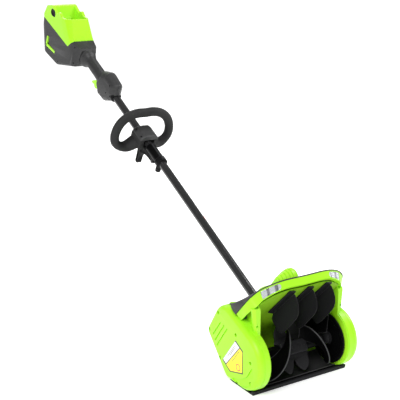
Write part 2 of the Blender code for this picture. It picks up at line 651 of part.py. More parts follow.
# ---------------------------------------------------------------- battery housing
greyCircles = [(1.2925, 0.7700, 0.0110), (1.3250, 0.7240, 0.0120), (1.4700, 0.7180, 0.0160),
               (1.5980, 0.7680, 0.0220), (1.5930, 0.8080, 0.0220), (1.5650, 0.8750, 0.0090),
               (1.3300, 0.7930, 0.0110)]
greenCircles = [(1.3315, 0.8060, 0.0060), (1.3560, 0.8740, 0.0080), (1.4880, 0.9140, 0.0100),
                (1.5230, 0.9040, 0.0180), (1.5620, 0.8820, 0.0080), (1.3620, 0.7890, 0.0050)]
widthCircles = [(1.2950, 0.0, 0.0290), (1.3900, -0.0310, 0.0180), (1.3900, 0.0310, 0.0180),
                (1.5700, -0.0290, 0.0190), (1.5700, 0.0290, 0.0190), (1.5980, -0.0180, 0.0220),
                (1.5980, 0.0180, 0.0220)]


# the hollow behind the pocket, open underneath
bayHollow = [(1.4700, 0.8100), (1.4885, 0.9050), (1.5200, 0.9060), (1.5460, 0.8860), (1.5540, 0.8500)]


def plan(inset):
    # the housing's outline seen from above, drawn up along Z, to meet its side outline
    outline = hull([(y, x, max(r, inset + 0.001)) for y, x, r in widthCircles], inset)
    return loft([[(x, y, z) for y, x in outline] for z in (0.6, 1.0)])


def pocket(margin, floor):
    # the battery's space: a slanted box, open at the top
    across = (bayAxis[1], -bayAxis[0])
    frontY, frontZ = bayFrontTop
    corners = []
    for along, deep in ((-margin, bayDepth + floor), (bayLength + margin, bayDepth + floor),
                        (bayLength + margin, -0.12), (-margin, -0.12)):
        corners.append((frontY + across[0] * along - bayAxis[0] * deep,
                        frontZ + across[1] * along - bayAxis[1] * deep))
    return prism(corners, -bayHalf - margin, bayHalf + margin)


def buildBatteryBay():
    bay = add("battery_bay", prism(hull(greenCircles), -0.08, 0.08), "lime_plastic")
    combine(bay, plan(0.0), "INTERSECT")
    tub = pocket(0.0022, 0.0022)
    combine(bay, tub, "UNION")
    combine(bay, aboveRim())
    combine(bay, pocket(0.0, 0.0))
    combine(bay, prism(bayHollow, -0.0350, 0.0350))
    latch = rod(0.0100, -0.0600, -0.0402)
    latch.transform(Matrix.Translation((0.0, 1.4760, 0.8960)))
    combine(bay, latch)


def aboveRim():
    # clears what stands above the bay's slanted rim
    line = [(1.3380, 0.8815), (1.4880, 0.9245), (1.5230, 0.9225), (1.60, 0.9225), (1.60, 1.2), (1.20, 1.2),
            (1.20, 0.8815)]
    return prism(line, -0.1, 0.1)


def buildBatteryHousing():
    for side, word in ((-1, "left"), (1, "right")):
        shell = add(f"battery_housing_{word}", prism(hull(greyCircles), -0.08, 0.08), "dark_grey_plastic")
        combine(shell, plan(0.0), "INTERSECT")
        hollow = combine(shell, prism(hull(greyCircles, 0.0030), -0.08, 0.08))
        combine(hollow, plan(0.0030), "INTERSECT")
        combine(shell, prism(hull([(y, z, r + gap) for y, z, r in greenCircles]), -0.1, 0.1))
        combine(shell, pocket(0.0026, 0.0026))
        neck = rod(0.0240, neckEnd - 0.02, neckEnd + 0.03, "Y")
        neck.transform(shaftMatrix)
        combine(shell, neck)
        combine(shell, prism(ventOutline(gap), -0.1, 0.1))
        front = block((-0.1, neckEnd - 0.10, -0.1), (0.1, neckEnd + gap, 0.1))
        front.transform(shaftMatrix)
        combine(shell, front)
        low, high = sorted((-side * 0.1, side * gap / 2))
        combine(shell, block((low, 1.1, 0.5), (high, 1.8, 1.1)))


def ventOutline(margin):
    # the L-shaped liner of the housing's side vent
    heel, toe, top = Vector((1.5700, 0.7680)), Vector((1.4880, 0.7420)), Vector((1.5480, 0.8070))
    width = 0.0065
    low = (toe - heel).normalized()
    high = (top - heel).normalized()
    inner = heel + (low + high) * width * 0.9
    return [tuple(v) for v in (
        heel - (low + high) * margin, toe + low * margin - high * margin,
        toe + low * margin + high * (width + margin), inner + (low + high) * margin,
        top + high * margin + low * (width + margin), top + high * margin - low * margin)]


def buildBatteryParts():
    add("vent_liner", prism(ventOutline(0.0), -0.0475, 0.0475), "lime_plastic")
    across = Vector((0.0, bayAxis[1], -bayAxis[0]))
    up = Vector((0.0, *bayAxis))
    floor = Vector((0.0, *bayFrontTop)) - up * (bayDepth - 0.0004)
    frame = Matrix.Translation(floor) @ Matrix((
        (1.0, 0.0, 0.0, 0.0), (0.0, across.y, up.y, 0.0), (0.0, across.z, up.z, 0.0), (0.0, 0.0, 0.0, 1.0)))
    terminal = block((-0.0240, 0.0300, 0.0), (0.0240, 0.0640, 0.0160))
    terminal.transform(frame)
    holder = add("terminal_block", terminal, "black_plastic")
    for i in range(4):
        x = -0.0165 + 0.0110 * i
        slot = block((x - 0.0015, 0.0340, 0.0050), (x + 0.0015, 0.0600, 0.0300))
        slot.transform(frame)
        combine(holder, slot)
    add("control_board", block((-0.0330, 1.4550, 0.7300), (0.0330, 1.5450, 0.7320)), "circuit_board")
    oval = hull([(0.0, -0.0045, 0.0040), (0.0, 0.0045, 0.0040)])
    catch = add("battery_release_button", prism(oval, -0.0045, 0.0025), "black_plastic",
                at=(-0.0470, 1.4760, 0.8960))
    soften(catch, 0.0008, 1)
    route = smooth(((0.0, 0.2800, 0.0), (0.0, 0.6400, -0.0020), (0.0, 1.0200, 0.0010), (0.0, 1.3300, -0.0020),
                    (0.0, 1.4100, -0.0100)), 4)
    add("power_cable", sweep(route, 0.0030, (1.0, 0.0, 0.0), sides=6), "cable_jacket", shaftFrame)


buildHoodShell()
buildFrontFrame()
buildLights()
buildTopCover()
buildVanes()
buildSidePlates()
buildSideCovers()
buildSole()
buildRearHousing()
buildMotorCover()
buildDrive()
buildShaft()
buildCouplerLever()
buildLoopHandle()
buildTriggerHandle()
buildTriggerParts()
buildBatteryBay()
buildBatteryHousing()
buildBatteryParts()
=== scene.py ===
from math import copysign, cos, pi, radians, sin, tau

import bmesh
import bpy
from mathutils import Matrix, Vector


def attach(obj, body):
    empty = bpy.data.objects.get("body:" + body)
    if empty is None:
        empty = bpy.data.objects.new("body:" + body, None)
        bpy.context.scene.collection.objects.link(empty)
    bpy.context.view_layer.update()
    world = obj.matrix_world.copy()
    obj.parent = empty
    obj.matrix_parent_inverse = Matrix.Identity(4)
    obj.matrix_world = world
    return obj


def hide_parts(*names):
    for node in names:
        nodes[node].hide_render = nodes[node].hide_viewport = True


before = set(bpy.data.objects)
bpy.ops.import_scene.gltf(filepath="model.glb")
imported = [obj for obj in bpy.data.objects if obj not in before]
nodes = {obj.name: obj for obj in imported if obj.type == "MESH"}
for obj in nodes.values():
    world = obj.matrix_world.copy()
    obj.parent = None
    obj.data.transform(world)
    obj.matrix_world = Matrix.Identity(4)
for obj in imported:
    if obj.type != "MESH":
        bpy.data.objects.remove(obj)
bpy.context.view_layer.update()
print("frame loaded:", len(nodes), "nodes")

still = Matrix.Identity(4)
sharpEdge = 34           # degrees between faces past which an edge stays sharp
shaftPlace = Matrix.Translation((0, -0.1085, 0)) @ Matrix.Rotation(radians(28.13), 4, "X")


# outlines and paths
def reach(circle, angle):
    return circle[0] * cos(angle) + circle[1] * sin(angle) + circle[2]


def band(circles, inset=0.0, step=5):
    # the line of a band stretched round circles given as (first, second, radius)
    points = []
    for degrees in range(0, 360, step):
        low, high = radians(degrees), radians(degrees + step)
        here = max(circles, key=lambda c: reach(c, low))
        there = max(circles, key=lambda c: reach(c, high))
        spots = [(here, low)]
        if here is not there:
            for _ in range(24):
                middle = (low + high) / 2
                if reach(here, middle) > reach(there, middle):
                    low = middle
                else:
                    high = middle
            spots += [(here, low), (there, low)]
        points += [(u + (r - inset) * cos(a), v + (r - inset) * sin(a)) for (u, v, r), a in spots]
    return points


def flow(points, perSpan, closed=False):
    # a smooth curve through the points
    spots = [Vector(point) for point in points]
    if closed:
        ends = [spots[-1]] + spots + spots[:2]
    else:
        ends = [2 * spots[0] - spots[1]] + spots + [2 * spots[-1] - spots[-2]]
    line = []
    for a, b, c, d in zip(ends, ends[1:], ends[2:], ends[3:]):
        for i in range(perSpan):
            t = i / perSpan
            line.append(0.5 * (2 * b + (c - a) * t + (2 * a - 5 * b + 4 * c - d) * t ** 2
                               + (3 * b - a - 3 * c + d) * t ** 3))
    return line if closed else line + [spots[-1]]


def fillet(points, radius, steps=4):
    # a closed outline with its corners rounded off
    line = []
    count = len(points)
    for i in range(count):
        here = Vector(points[i])
        before, after = Vector(points[i - 1]) - here, Vector(points[(i + 1) % count]) - here
        near = min(radius, 0.45 * before.length, 0.45 * after.length)
        start, end = here + before.normalized() * near, here + after.normalized() * near
        for k in range(steps + 1):
            t = k / steps
            line.append((1 - t) ** 2 * start + 2 * t * (1 - t) * here + t ** 2 * end)
    return line


def arc(centre, radius, low, high, count):
    # points round a centre, with the angles in degrees
    return [(centre[0] + radius * cos(radians(low + (high - low) * i / count)),
             centre[1] + radius * sin(radians(low + (high - low) * i / count)))
            for i in range(count + 1)]


# surfaces
def skin(loops, ring=False):
    # joins equal closed loops into one surface, and caps its ends
    bm = bmesh.new()
    rows = [[bm.verts.new(point) for point in loop] for loop in loops]
    pairs = list(zip(rows, rows[1:])) + ([(rows[-1], rows[0])] if ring else [])
    for near, far in pairs:
        for i in range(len(near)):
            j = (i + 1) % len(near)
            bm.faces.new((near[i], near[j], far[j], far[i]))
    if not ring:
        bm.faces.new(rows[0])
        bm.faces.new(rows[-1])
    return bm


def sheet(rows):
    # joins equal open rows into a thin sheet
    bm = bmesh.new()
    lines = [[bm.verts.new(point) for point in row] for row in rows]
    for near, far in zip(lines, lines[1:]):
        for i in range(len(near) - 1):
            bm.faces.new((near[i], near[i + 1], far[i + 1], far[i]))
    return bm


def plate(line, low, high):
    # an outline in Y and Z drawn out along X
    return skin([[(x, y, z) for y, z in line] for x in (low, high)])


def block(low, high):
    (x0, y0, z0), (x1, y1, z1) = low, high
    return plate([(y0, z0), (y1, z0), (y1, z1), (y0, z1)], x0, x1)


def stack(rows, circles, side=1, step=5):
    # a band's outline carried through stations along X, each with its own inset
    return skin([[(side * x, y, z) for y, z in band(circles, inset, step)] for x, inset in rows])


def peg(radius, start, end, sides=24):
    # a round bar from one point to another
    start, end = Vector(start), Vector(end)
    turn = (end - start).to_track_quat("Z", "Y").to_matrix()
    ring = [turn @ Vector((radius * cos(tau * i / sides), radius * sin(tau * i / sides), 0))
            for i in range(sides)]
    return skin([[start + spot for spot in ring], [end + spot for spot in ring]])


def shaftBore(radius, low, high):
    # a round cut between two stations of the shaft, before it is put in place
    return peg(radius, (0, low, 0), (0, high, 0), 40)


def merged(shapes):
    # several surfaces in one
    whole = bmesh.new()
    for shape in shapes:
        part = bpy.data.meshes.new("part")
        shape.to_mesh(part)
        shape.free()
        whole.from_mesh(part)
        bpy.data.meshes.remove(part)
    return whole


# objects and their modifier stacks
def make(name, bm, place=still, sharp=sharpEdge):
    bmesh.ops.remove_doubles(bm, verts=bm.verts, dist=0.00001)
    bmesh.ops.recalc_face_normals(bm, faces=bm.faces)
    mesh = bpy.data.meshes.new(name)
    bm.to_mesh(mesh)
    bm.free()
    mesh.transform(place)
    mesh.shade_smooth()
    mesh.set_sharp_from_angle(angle=radians(sharp))
    thing = bpy.data.objects.new(name, mesh)
    bpy.context.scene.collection.objects.link(thing)
    return thing


def settle(thing, place=still):
    # applies the piece's stack, and then its place
    bpy.context.view_layer.update()
    baked = bpy.data.meshes.new_from_object(thing.evaluated_get(bpy.context.evaluated_depsgraph_get()))
    rough = thing.data
    thing.modifiers.clear()
    thing.data = baked
    bpy.data.meshes.remove(rough)
    baked.transform(place)
    baked.shade_smooth()
    baked.set_sharp_from_angle(angle=radians(sharpEdge))
    return thing


def bevelled(thing, width, segments=3, angle=sharpEdge):
    step = thing.modifiers.new("edges", "BEVEL")
    step.width = width
    step.segments = segments
    step.limit_method = "ANGLE"
    step.angle_limit = radians(angle)
    step.harden_normals = True
    return thing


def walled(thing, wall, offset=1.0):
    step = thing.modifiers.new("wall", "SOLIDIFY")
    step.thickness = wall
    step.offset = offset
    return thing


def carve(thing, shapes, operation="DIFFERENCE", place=still):
    # cuts shapes out of a piece, or joins or crosses them with it
    for shape in shapes:
        helper = make("helper", shape, place)
        step = thing.modifiers.new("carve", "BOOLEAN")
        step.operation = operation
        step.solver = "EXACT"
        step.object = helper
        settle(thing)
        mesh = helper.data
        bpy.data.objects.remove(helper)
        bpy.data.meshes.remove(mesh)
    return thing


def turned(name, profile, place=still, steps=64, soft=0.0):
    # a profile of (radius, height) from top to bottom, turned about Z
    mesh = bpy.data.meshes.new(name)
    mesh.from_pydata([(radius, 0, height) for radius, height in profile],
                     [(i, i + 1) for i in range(len(profile) - 1)], [])
    thing = bpy.data.objects.new(name, mesh)
    bpy.context.scene.collection.objects.link(thing)
    step = thing.modifiers.new("turn", "SCREW")
    step.steps = steps
    step.render_steps = steps
    step.use_merge_vertices = True
    step.merge_threshold = 0.00002
    if soft:
        bevelled(thing, soft, 2, 25)
    return settle(thing, place)


def dress(thing, finish, body, *stands, slot=None):
    # a piece's material and body, and the nodes that it stands for; the slot argument is not used
    thing.data.materials.clear()
    thing.data.materials.append(finishes[finish])
    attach(thing, body)
    if stands:
        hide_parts(*stands)
    return thing


def fastened(name, heads, body, place=still):
    # a piece's screw heads, as one object
    dress(make(name, merged(heads), place), "screw_steel", body, slot="steel")


# shader maths
class Wire:
    # a shader socket that can be used in sums
    def __init__(self, paint, socket):
        self.paint = paint
        self.socket = socket

    def sum(self, operation, first, second):
        return self.paint.add("ShaderNodeMath", {"operation": operation}, {0: first, 1: second})

    def __add__(self, other):
        return self.sum("ADD", self, other)

    def __radd__(self, other):
        return self.sum("ADD", other, self)

    def __sub__(self, other):
        return self.sum("SUBTRACT", self, other)

    def __rsub__(self, other):
        return self.sum("SUBTRACT", other, self)

    def __mul__(self, other):
        return self.sum("MULTIPLY", self, other)

    def __rmul__(self, other):
        return self.sum("MULTIPLY", other, self)


class Paint:
    # one material and its nodes
    def __init__(self, name):
        self.material = bpy.data.materials.new(name)
        self.material.use_nodes = True
        self.tree = self.material.node_tree
        self.shader = self.tree.nodes["Principled BSDF"]
        self.place = self.add("ShaderNodeTexCoord", out="Object")

    def add(self, kind, settings=(), sockets=(), out=0):
        node = self.tree.nodes.new(kind)
        for key, value in dict(settings).items():
            if key == "stops":
                while len(node.color_ramp.elements) < len(value):
                    node.color_ramp.elements.new(1.0)
                for element, (spot, shade) in zip(node.color_ramp.elements, value):
                    element.position = spot
                    element.color = (shade, shade, shade, 1)
            else:
                setattr(node, key, value)
        for key, value in dict(sockets).items():
            self.feed(node.inputs[key], value)
        return Wire(self, node.outputs[out])

    def feed(self, socket, value):
        if isinstance(value, Wire):
            self.tree.links.new(value.socket, socket)
        else:
            socket.default_value = value

    def noise(self, scale, detail=3.0, stretch=(1, 1, 1)):
        place = self.add("ShaderNodeMapping", {}, {"Vector": self.place, "Scale": stretch})
        return self.add("ShaderNodeTexNoise", {}, {"Vector": place, "Scale": scale, "Detail": detail}, "Fac")

    def cells(self, scale):
        return self.add("ShaderNodeTexVoronoi", {"feature": "F1"}, {"Vector": self.place, "Scale": scale},
                        "Distance")

    def ramp(self, value, *stops):
        return self.add("ShaderNodeValToRGB", {"stops": stops}, {"Fac": value}, "Color")

    def blend(self, factor, first, second):
        return self.add("ShaderNodeMix", {"data_type": "RGBA"}, {0: factor, 6: first, 7: second}, 2)

    def edges(self):
        # where the surface turns outwards, which the looks lighten: partly wear, partly a painted sheen
        turn = self.add("ShaderNodeNewGeometry", out="Pointiness")
        return self.ramp(turn, (0.515, 0.0), (0.57, 1.0))

    def close(self, colour, roughness, height=None, bump=0.3, depth=0.0004, **fixed):
        self.feed(self.shader.inputs["Base Color"], colour)
        self.feed(self.shader.inputs["Roughness"], roughness)
        if height is not None:
            normal = self.add("ShaderNodeBump", {}, {"Strength": bump, "Distance": depth, "Height": height})
            self.feed(self.shader.inputs["Normal"], normal)
        for key, value in fixed.items():
            self.shader.inputs[key.replace("_", " ")].default_value = value
        return self.material


def shade(colour, factor):
    return (colour[0] * factor, colour[1] * factor, colour[2] * factor, 1)


def mouldedPlastic(name, look):
    # moulded plastic: cloudy tone, spark-eroded grain, edges lightened partly by wear and partly as a painted
    # sheen, and fine handling scuffs
    paint = Paint(name)
    cloud = paint.noise(9, 4)
    grain = paint.cells(look["grain"])
    scuff = paint.ramp(paint.noise(70, 6, (1, 1, 6)), (0.56, 0.0), (0.72, 1.0))
    dust = paint.ramp(paint.noise(420, 2), (0.6, 0.0), (0.78, 1.0))
    tone = paint.blend(cloud, shade(look["colour"], 0.9), shade(look["colour"], 1.06))
    # edges lightened: partly wear, partly a painted sheen
    tone = paint.blend(paint.edges() * look["edgeWearAndSheen"], tone, (*look["edge"], 1))
    tone = paint.blend(dust * look["dust"] + scuff * look["scuff"], tone, (0.55, 0.56, 0.54, 1))
    gloss = look["roughness"] + (cloud - 0.5) * 0.12 + scuff * 0.1 + dust * 0.08
    height = grain * 0.8 + paint.noise(1400, 2) * 0.5 + cloud * 0.3
    return paint.close(tone, gloss, height, look["bump"], 0.00025, Specular_IOR_Level=look["specular"])


def rubber(name, look):
    # rubber: dull, with bloom in patches and a fine open skin
    paint = Paint(name)
    bloom = paint.ramp(paint.noise(14, 5), (0.35, 0.0), (0.75, 1.0))
    pores = paint.cells(look["pores"])
    rub = paint.ramp(paint.noise(55, 6, (4, 1, 1)), (0.58, 0.0), (0.74, 1.0))
    tone = paint.blend(bloom, shade(look["colour"], 0.75), shade(look["colour"], 1.35))
    # edges lightened partly as wear and partly as a painted sheen, with rubbed patches
    tone = paint.blend(paint.edges() * look["edgeWearAndSheen"] + rub * look["rub"], tone, (*look["edge"], 1))
    gloss = look["roughness"] - rub * 0.14 + bloom * 0.08
    return paint.close(tone, gloss, pores + paint.noise(900, 3) * 0.6, look["bump"], 0.0004,
                       Specular_IOR_Level=look["specular"])


def coatedTube():
    # satin powder coat with a fine orange peel, rubbed along its length
    paint = Paint("coated_tube")
    peel = paint.noise(650, 2)
    rub = paint.ramp(paint.noise(26, 7, (9, 1, 1)), (0.58, 0.0), (0.8, 1.0))
    cloud = paint.noise(6, 3)
    tone = paint.blend(cloud, (0.011, 0.011, 0.0115, 1), (0.016, 0.016, 0.0165, 1))
    tone = paint.blend(rub * 0.25, tone, (0.07, 0.07, 0.073, 1))
    return paint.close(tone, 0.2 + rub * 0.12 + (cloud - 0.5) * 0.06, peel, 0.1, 0.0003,
                       Specular_IOR_Level=0.6)


def turnedMetal(name, colour, roughness):
    # machined metal with tool rings across X, smears and a few nicks
    paint = Paint(name)
    rings = paint.add("ShaderNodeTexWave", {"bands_direction": "X"},
                      {"Vector": paint.place, "Scale": 900.0, "Distortion": 1.2}, "Fac")
    smear = paint.noise(22, 5)
    nick = paint.ramp(paint.noise(240, 3), (0.66, 0.0), (0.74, 1.0))
    tone = paint.blend(smear, shade(colour, 0.8), shade(colour, 1.12))
    tone = paint.blend(nick * 0.5, tone, shade(colour, 0.35))
    return paint.close(tone, roughness + smear * 0.14 + nick * 0.2, rings - nick * 0.6, 0.16, 0.0002,
                       Metallic=1.0)


def brightReflector():
    # a fluted reflector behind the lights, with its reflections painted in as white and dark bands along the
    # flutes
    paint = Paint("bright_reflector")
    flutes = paint.add("ShaderNodeTexWave", {"bands_direction": "X"},
                       {"Vector": paint.place, "Scale": 14.0, "Distortion": 2.5}, "Fac")
    haze = paint.noise(60, 3)
    # white and dark bands: painted reflections of a mirror finish
    paintedReflection = paint.ramp(flutes, (0.1, 0.0), (0.42, 1.0))
    tone = paint.blend(paintedReflection, (0.1, 0.11, 0.12, 1), (0.95, 0.97, 1.0, 1))
    return paint.close(tone, 0.16 + haze * 0.1, haze, 0.1, 0.0005, Metallic=0.35)


def clearLens():
    # clear polycarbonate with faint flutes and dust
    paint = Paint("clear_lens_finish")
    dust = paint.ramp(paint.noise(300, 3), (0.58, 0.0), (0.8, 1.0))
    tone = paint.blend(dust * 0.3, (0.97, 0.985, 1.0, 1), (0.82, 0.84, 0.86, 1))
    return paint.close(tone, 0.03 + dust * 0.06, paint.noise(60, 1), 0.02, 0.0004,
                       Transmission_Weight=0.92, IOR=1.46)


def lightEmitter():
    # the phosphor squares of the lights
    paint = Paint("light_emitter")
    spots = paint.cells(700)
    tone = paint.blend(spots, (0.95, 0.86, 0.45, 1), (0.9, 0.9, 0.78, 1))
    return paint.close(tone, 0.35 + spots * 0.2, spots, 0.2, 0.0002)


def boardLaminate():
    # a green circuit board with tracks and tinned pads
    paint = Paint("board_laminate")
    weave = paint.noise(1500, 2)
    tracks = paint.ramp(paint.cells(260), (0.22, 1.0), (0.3, 0.0))
    tone = paint.blend(weave, (0.012, 0.12, 0.035, 1), (0.02, 0.18, 0.055, 1))
    tone = paint.blend(tracks, tone, (0.62, 0.56, 0.4, 1))
    return paint.close(tone, 0.42 - tracks * 0.15, tracks + weave * 0.2, 0.3, 0.0003)


def labelFilm(name, colour):
    # printed film: even colour, faint scratches and a satin surface
    paint = Paint(name)
    cloud = paint.noise(30, 3)
    scratch = paint.ramp(paint.noise(160, 6, (1, 5, 1)), (0.62, 0.0), (0.74, 1.0))
    tone = paint.blend(cloud, shade(colour, 0.93), shade(colour, 1.03))
    tone = paint.blend(scratch * 0.25, tone, (0.5, 0.5, 0.5, 1))
    return paint.close(tone, 0.3 + cloud * 0.1 + scratch * 0.15, cloud + scratch, 0.08, 0.0002)


def studioFloor():
    # a matt pale floor with a trace of texture
    paint = Paint("studio_floor")
    cloud = paint.noise(3, 4)
    tone = paint.blend(cloud, (0.95, 0.95, 0.95, 1), (0.98, 0.98, 0.98, 1))
    return paint.close(tone, 0.9 + cloud * 0.1, paint.noise(80, 4), 0.05, 0.0005, Specular_IOR_Level=0.0,
                       Emission_Color=(1, 1, 1, 1), Emission_Strength=0.28)


# edge colour and its strength: lightening along edges, partly wear and partly a painted sheen
limeLook = {"colour": (0.35, 0.8, 0.012), "edge": (0.56, 0.95, 0.12), "roughness": 0.38, "grain": 1500,
            "bump": 0.1, "edgeWearAndSheen": 0.2, "scuff": 0.03, "dust": 0.015, "specular": 0.3}
# the hood's inside: a darker copy of the lime, with the shade inside the hood painted into its colour
paintedShadeLook = {"colour": (0.19, 0.43, 0.003), "edge": (0.4, 0.75, 0.05), "roughness": 0.46, "grain": 1500,
              "bump": 0.14, "edgeWearAndSheen": 0.2, "scuff": 0.06, "dust": 0.02, "specular": 0.22}
greyLook = {"colour": (0.022, 0.022, 0.0225), "edge": (0.1, 0.1, 0.103), "roughness": 0.5, "grain": 1100,
            "bump": 0.32, "edgeWearAndSheen": 0.35, "scuff": 0.012, "dust": 0.015, "specular": 0.32}
blackLook = {"colour": (0.0024, 0.0024, 0.0026), "edge": (0.05, 0.05, 0.053), "roughness": 0.4, "grain": 1200,
             "bump": 0.22, "edgeWearAndSheen": 0.5, "scuff": 0.003, "dust": 0.002, "specular": 0.06}
bladeLook = {"colour": (0.0014, 0.0014, 0.0015), "edge": (0.1, 0.1, 0.105), "roughness": 0.44, "pores": 800,
             "bump": 0.2, "edgeWearAndSheen": 0.6, "rub": 0.01, "specular": 0.05}
gripLook = {"colour": (0.017, 0.017, 0.0175), "edge": (0.05, 0.05, 0.05), "roughness": 0.66, "pores": 620,
            "bump": 0.45, "edgeWearAndSheen": 0.2, "rub": 0.04, "specular": 0.24}
cableLook = {"colour": (0.014, 0.014, 0.015), "edge": (0.05, 0.05, 0.05), "roughness": 0.5, "pores": 500,
             "bump": 0.2, "edgeWearAndSheen": 0.2, "rub": 0.05, "specular": 0.4}

finishes = {
    "lime_plastic": mouldedPlastic("lime_shell", limeLook),
    # the darker lime paints the shade inside the hood
    "lime_inside": mouldedPlastic("lime_hood_painted_shade", paintedShadeLook),
    "dark_grey_plastic": mouldedPlastic("dark_grey_shell", greyLook),
    "black_plastic": mouldedPlastic("black_shell", blackLook),
    "black_rubber": rubber("blade_rubber", bladeLook),
    "grip_rubber": rubber("grip_skin", gripLook),
    "cable_jacket": rubber("cable_skin", cableLook),
    "painted_tube": coatedTube(),
    "steel": turnedMetal("bright_steel", (0.56, 0.56, 0.57), 0.22),
    "motor_steel": turnedMetal("motor_can_steel", (0.2, 0.2, 0.21), 0.34),
    "screw_steel": turnedMetal("black_screw", (0.05, 0.05, 0.052), 0.4),
    "clear_lens": clearLens(),
    "reflector": brightReflector(),
    "light_board": lightEmitter(),
    "circuit_board": boardLaminate(),
    "label_white": labelFilm("label_white_film", (0.84, 0.84, 0.83)),
    "label_yellow": labelFilm("label_yellow_film", (0.93, 0.8, 0.02)),
    "label_red": labelFilm("label_red_film", (0.55, 0.1, 0.07)),
    "label_green": labelFilm("label_green_film", (0.3, 0.62, 0.1)),
    "label_border": labelFilm("label_dark_film", (0.03, 0.03, 0.03)),
}
print("finishes made:", len(finishes))


# the head's shared lines
head = {"half": 0.132, "plateIn": 0.1323, "plateOut": 0.1353, "coverOut": 0.1695,
        "auger": (0.037, 0.086), "motor": (0.128, 0.193), "scoop": 0.0785, "wall": 0.003, "tilt": 37.0}
lobes = {"front": (0.036, 0.0897, 0.0855), "motor": (0.122, 0.158, 0.056),
         "back": (0.188, 0.118, 0.022), "heel": (0.105, 0.028, 0.022),
         "corner": (0.024, 0.238, 0.0155)}
wallOut = (cos(radians(head["tilt"])), sin(radians(head["tilt"])))
wallUp = (-wallOut[1], wallOut[0])
wallFoot = (head["auger"][0] + head["scoop"] * wallOut[0], head["auger"][1] + head["scoop"] * wallOut[1])

# upper front edge, lower front edge and run back of the front band, from the middle outwards
bandPath = (
    ((0.0, -0.012, 0.3125), (0.0, -0.02, 0.294), (0.0, 0.0122, -0.0096)),
    ((0.074, -0.012, 0.3125), (0.074, -0.02, 0.294), (0.0, 0.0122, -0.0096)),
    ((0.128, 0.005, 0.295), (0.1245, -0.0045, 0.2715), (-0.001, 0.0122, -0.0096)),
    ((0.157, 0.018, 0.272), (0.1445, 0.0065, 0.249), (-0.004, 0.012, -0.007)),
    ((0.1645, 0.036, 0.248), (0.1565, 0.027, 0.227), (-0.01, 0.01, -0.003)),
    ((0.162, 0.074, 0.209), (0.1575, 0.058, 0.196), (-0.012, 0.004, 0.0)),
)


def bandRows(perSpan=6):
    # the band's rows from left to right, with a fold at each shoulder
    right = []
    for part in (bandPath[:4], bandPath[3:]):
        right += list(zip(*[flow(column, perSpan) for column in zip(*part)]))[(1 if right else 0):]
    left = [tuple(Vector((-v.x, v.y, v.z)) for v in row) for row in reversed(right[1:])]
    return left + right


def bandAt(x):
    rows = [row for row in bandRows(12) if row[0].x >= 0]
    for near, far in zip(rows, rows[1:]):
        if near[0].x <= x <= far[0].x:
            t = (x - near[0].x) / (far[0].x - near[0].x)
            return tuple(a.lerp(b, t) for a, b in zip(near, far))
    return rows[0]


def buildHood():
    look = {"columns": 24, "arcSteps": 26, "foot": -47.8, "lip": (0.0092, 0.0122)}
    middle, scoop, wall = head["auger"], head["scoop"], head["wall"]
    loops = []
    for i in range(look["columns"] + 1):
        x = head["half"] * (2 * i / look["columns"] - 1)
        lower = bandAt(abs(x))[1]
        top = (lower.y + look["lip"][0], lower.z - look["lip"][1])
        inner = arc(middle, scoop, look["foot"], head["tilt"], look["arcSteps"])
        inner.append((top[0] - 0.0013, top[1] - 0.001))
        outer = arc(middle, scoop + wall, look["foot"], head["tilt"], look["arcSteps"])
        outer.append((top[0] + 0.0011, top[1] + 0.0008))
        loops.append([(x, y, z) for y, z in inner + outer[::-1]])
    # the hood wall takes the darker lime, which paints the shade inside the hood
    dress(make("hood_wall", skin(loops)), "lime_inside", "frame", "hood_shell", slot="lime_plastic")

    loops = [[upper, lower, lower + back * 0.92, upper + back] for upper, lower, back in bandRows()]
    front = make("front_band", skin(loops))
    carve(front, [lightShape(side, 0.001, -0.25, 0.72) for side in (-1, 1)])
    bevelled(front, 0.0013)
    dress(front, "lime_plastic", "frame", "front_frame")


def lightLoop(side, margin, depth):
    # a light's outline on the band, with a round inner end, at a depth into it
    line = []
    for t in range(9):
        a = radians(270 - 180 * t / 8)
        line.append((0.0872 + 0.0072 * cos(a) - margin * cos(a), 0.5 + 0.5 * sin(a)))
    line += [(0.09 + (0.045 - margin) * t / 6, 1.0) for t in range(1, 7)]
    line += [(0.1355 - margin - 0.0455 * t / 6, 0.0) for t in range(6)]
    points = []
    for x, across in line:
        upper, lower, back = bandAt(x)
        rise = upper - lower
        room = 1 - 2 * (0.0014 + margin) / rise.length
        point = lower + rise * (0.5 + (across - 0.5) * room) + back * depth
        points.append((side * point.x, point.y, point.z))
    return points


def lightShape(side, margin, near, far):
    return skin([lightLoop(side, margin, near), lightLoop(side, margin, far)])


def buildLights():
    for side, word in ((-1, "left"), (1, "right")):
        loops = [lightLoop(side, margin, depth) for margin, depth in
                 ((0.0012, 0.1), (0.0018, 0.3), (0.0038, 0.46), (0.0062, 0.54))]
        bowl = make(f"light_bowl_{word}", skin(loops), sharp=50)
        carve(bowl, [skin([lightLoop(side, margin + 0.0007, depth - 0.03) for margin, depth in
                           ((0.001, 0.02), (0.0018, 0.3), (0.0038, 0.46), (0.0058, 0.52))])])
        dress(bowl, "reflector", "frame", f"light_board_{word}", slot="light_board")
        dots = []
        for x in (0.093, 0.106, 0.119):
            upper, lower, back = bandAt(x)
            spot = (upper + lower) / 2 + back * 0.46
            spot.x *= side
            dots.append(peg(0.0022, spot, spot - back * 0.07, 4))
        dress(bevelled(make(f"light_chips_{word}", merged(dots)), 0.0004, 2), "light_board", "frame")
        lens = make(f"light_window_{word}", lightShape(side, 0.0014, 0.015, 0.085), sharp=50)
        dress(bevelled(lens, 0.0004, 2), "clear_lens", "frame", f"light_lens_{word}")


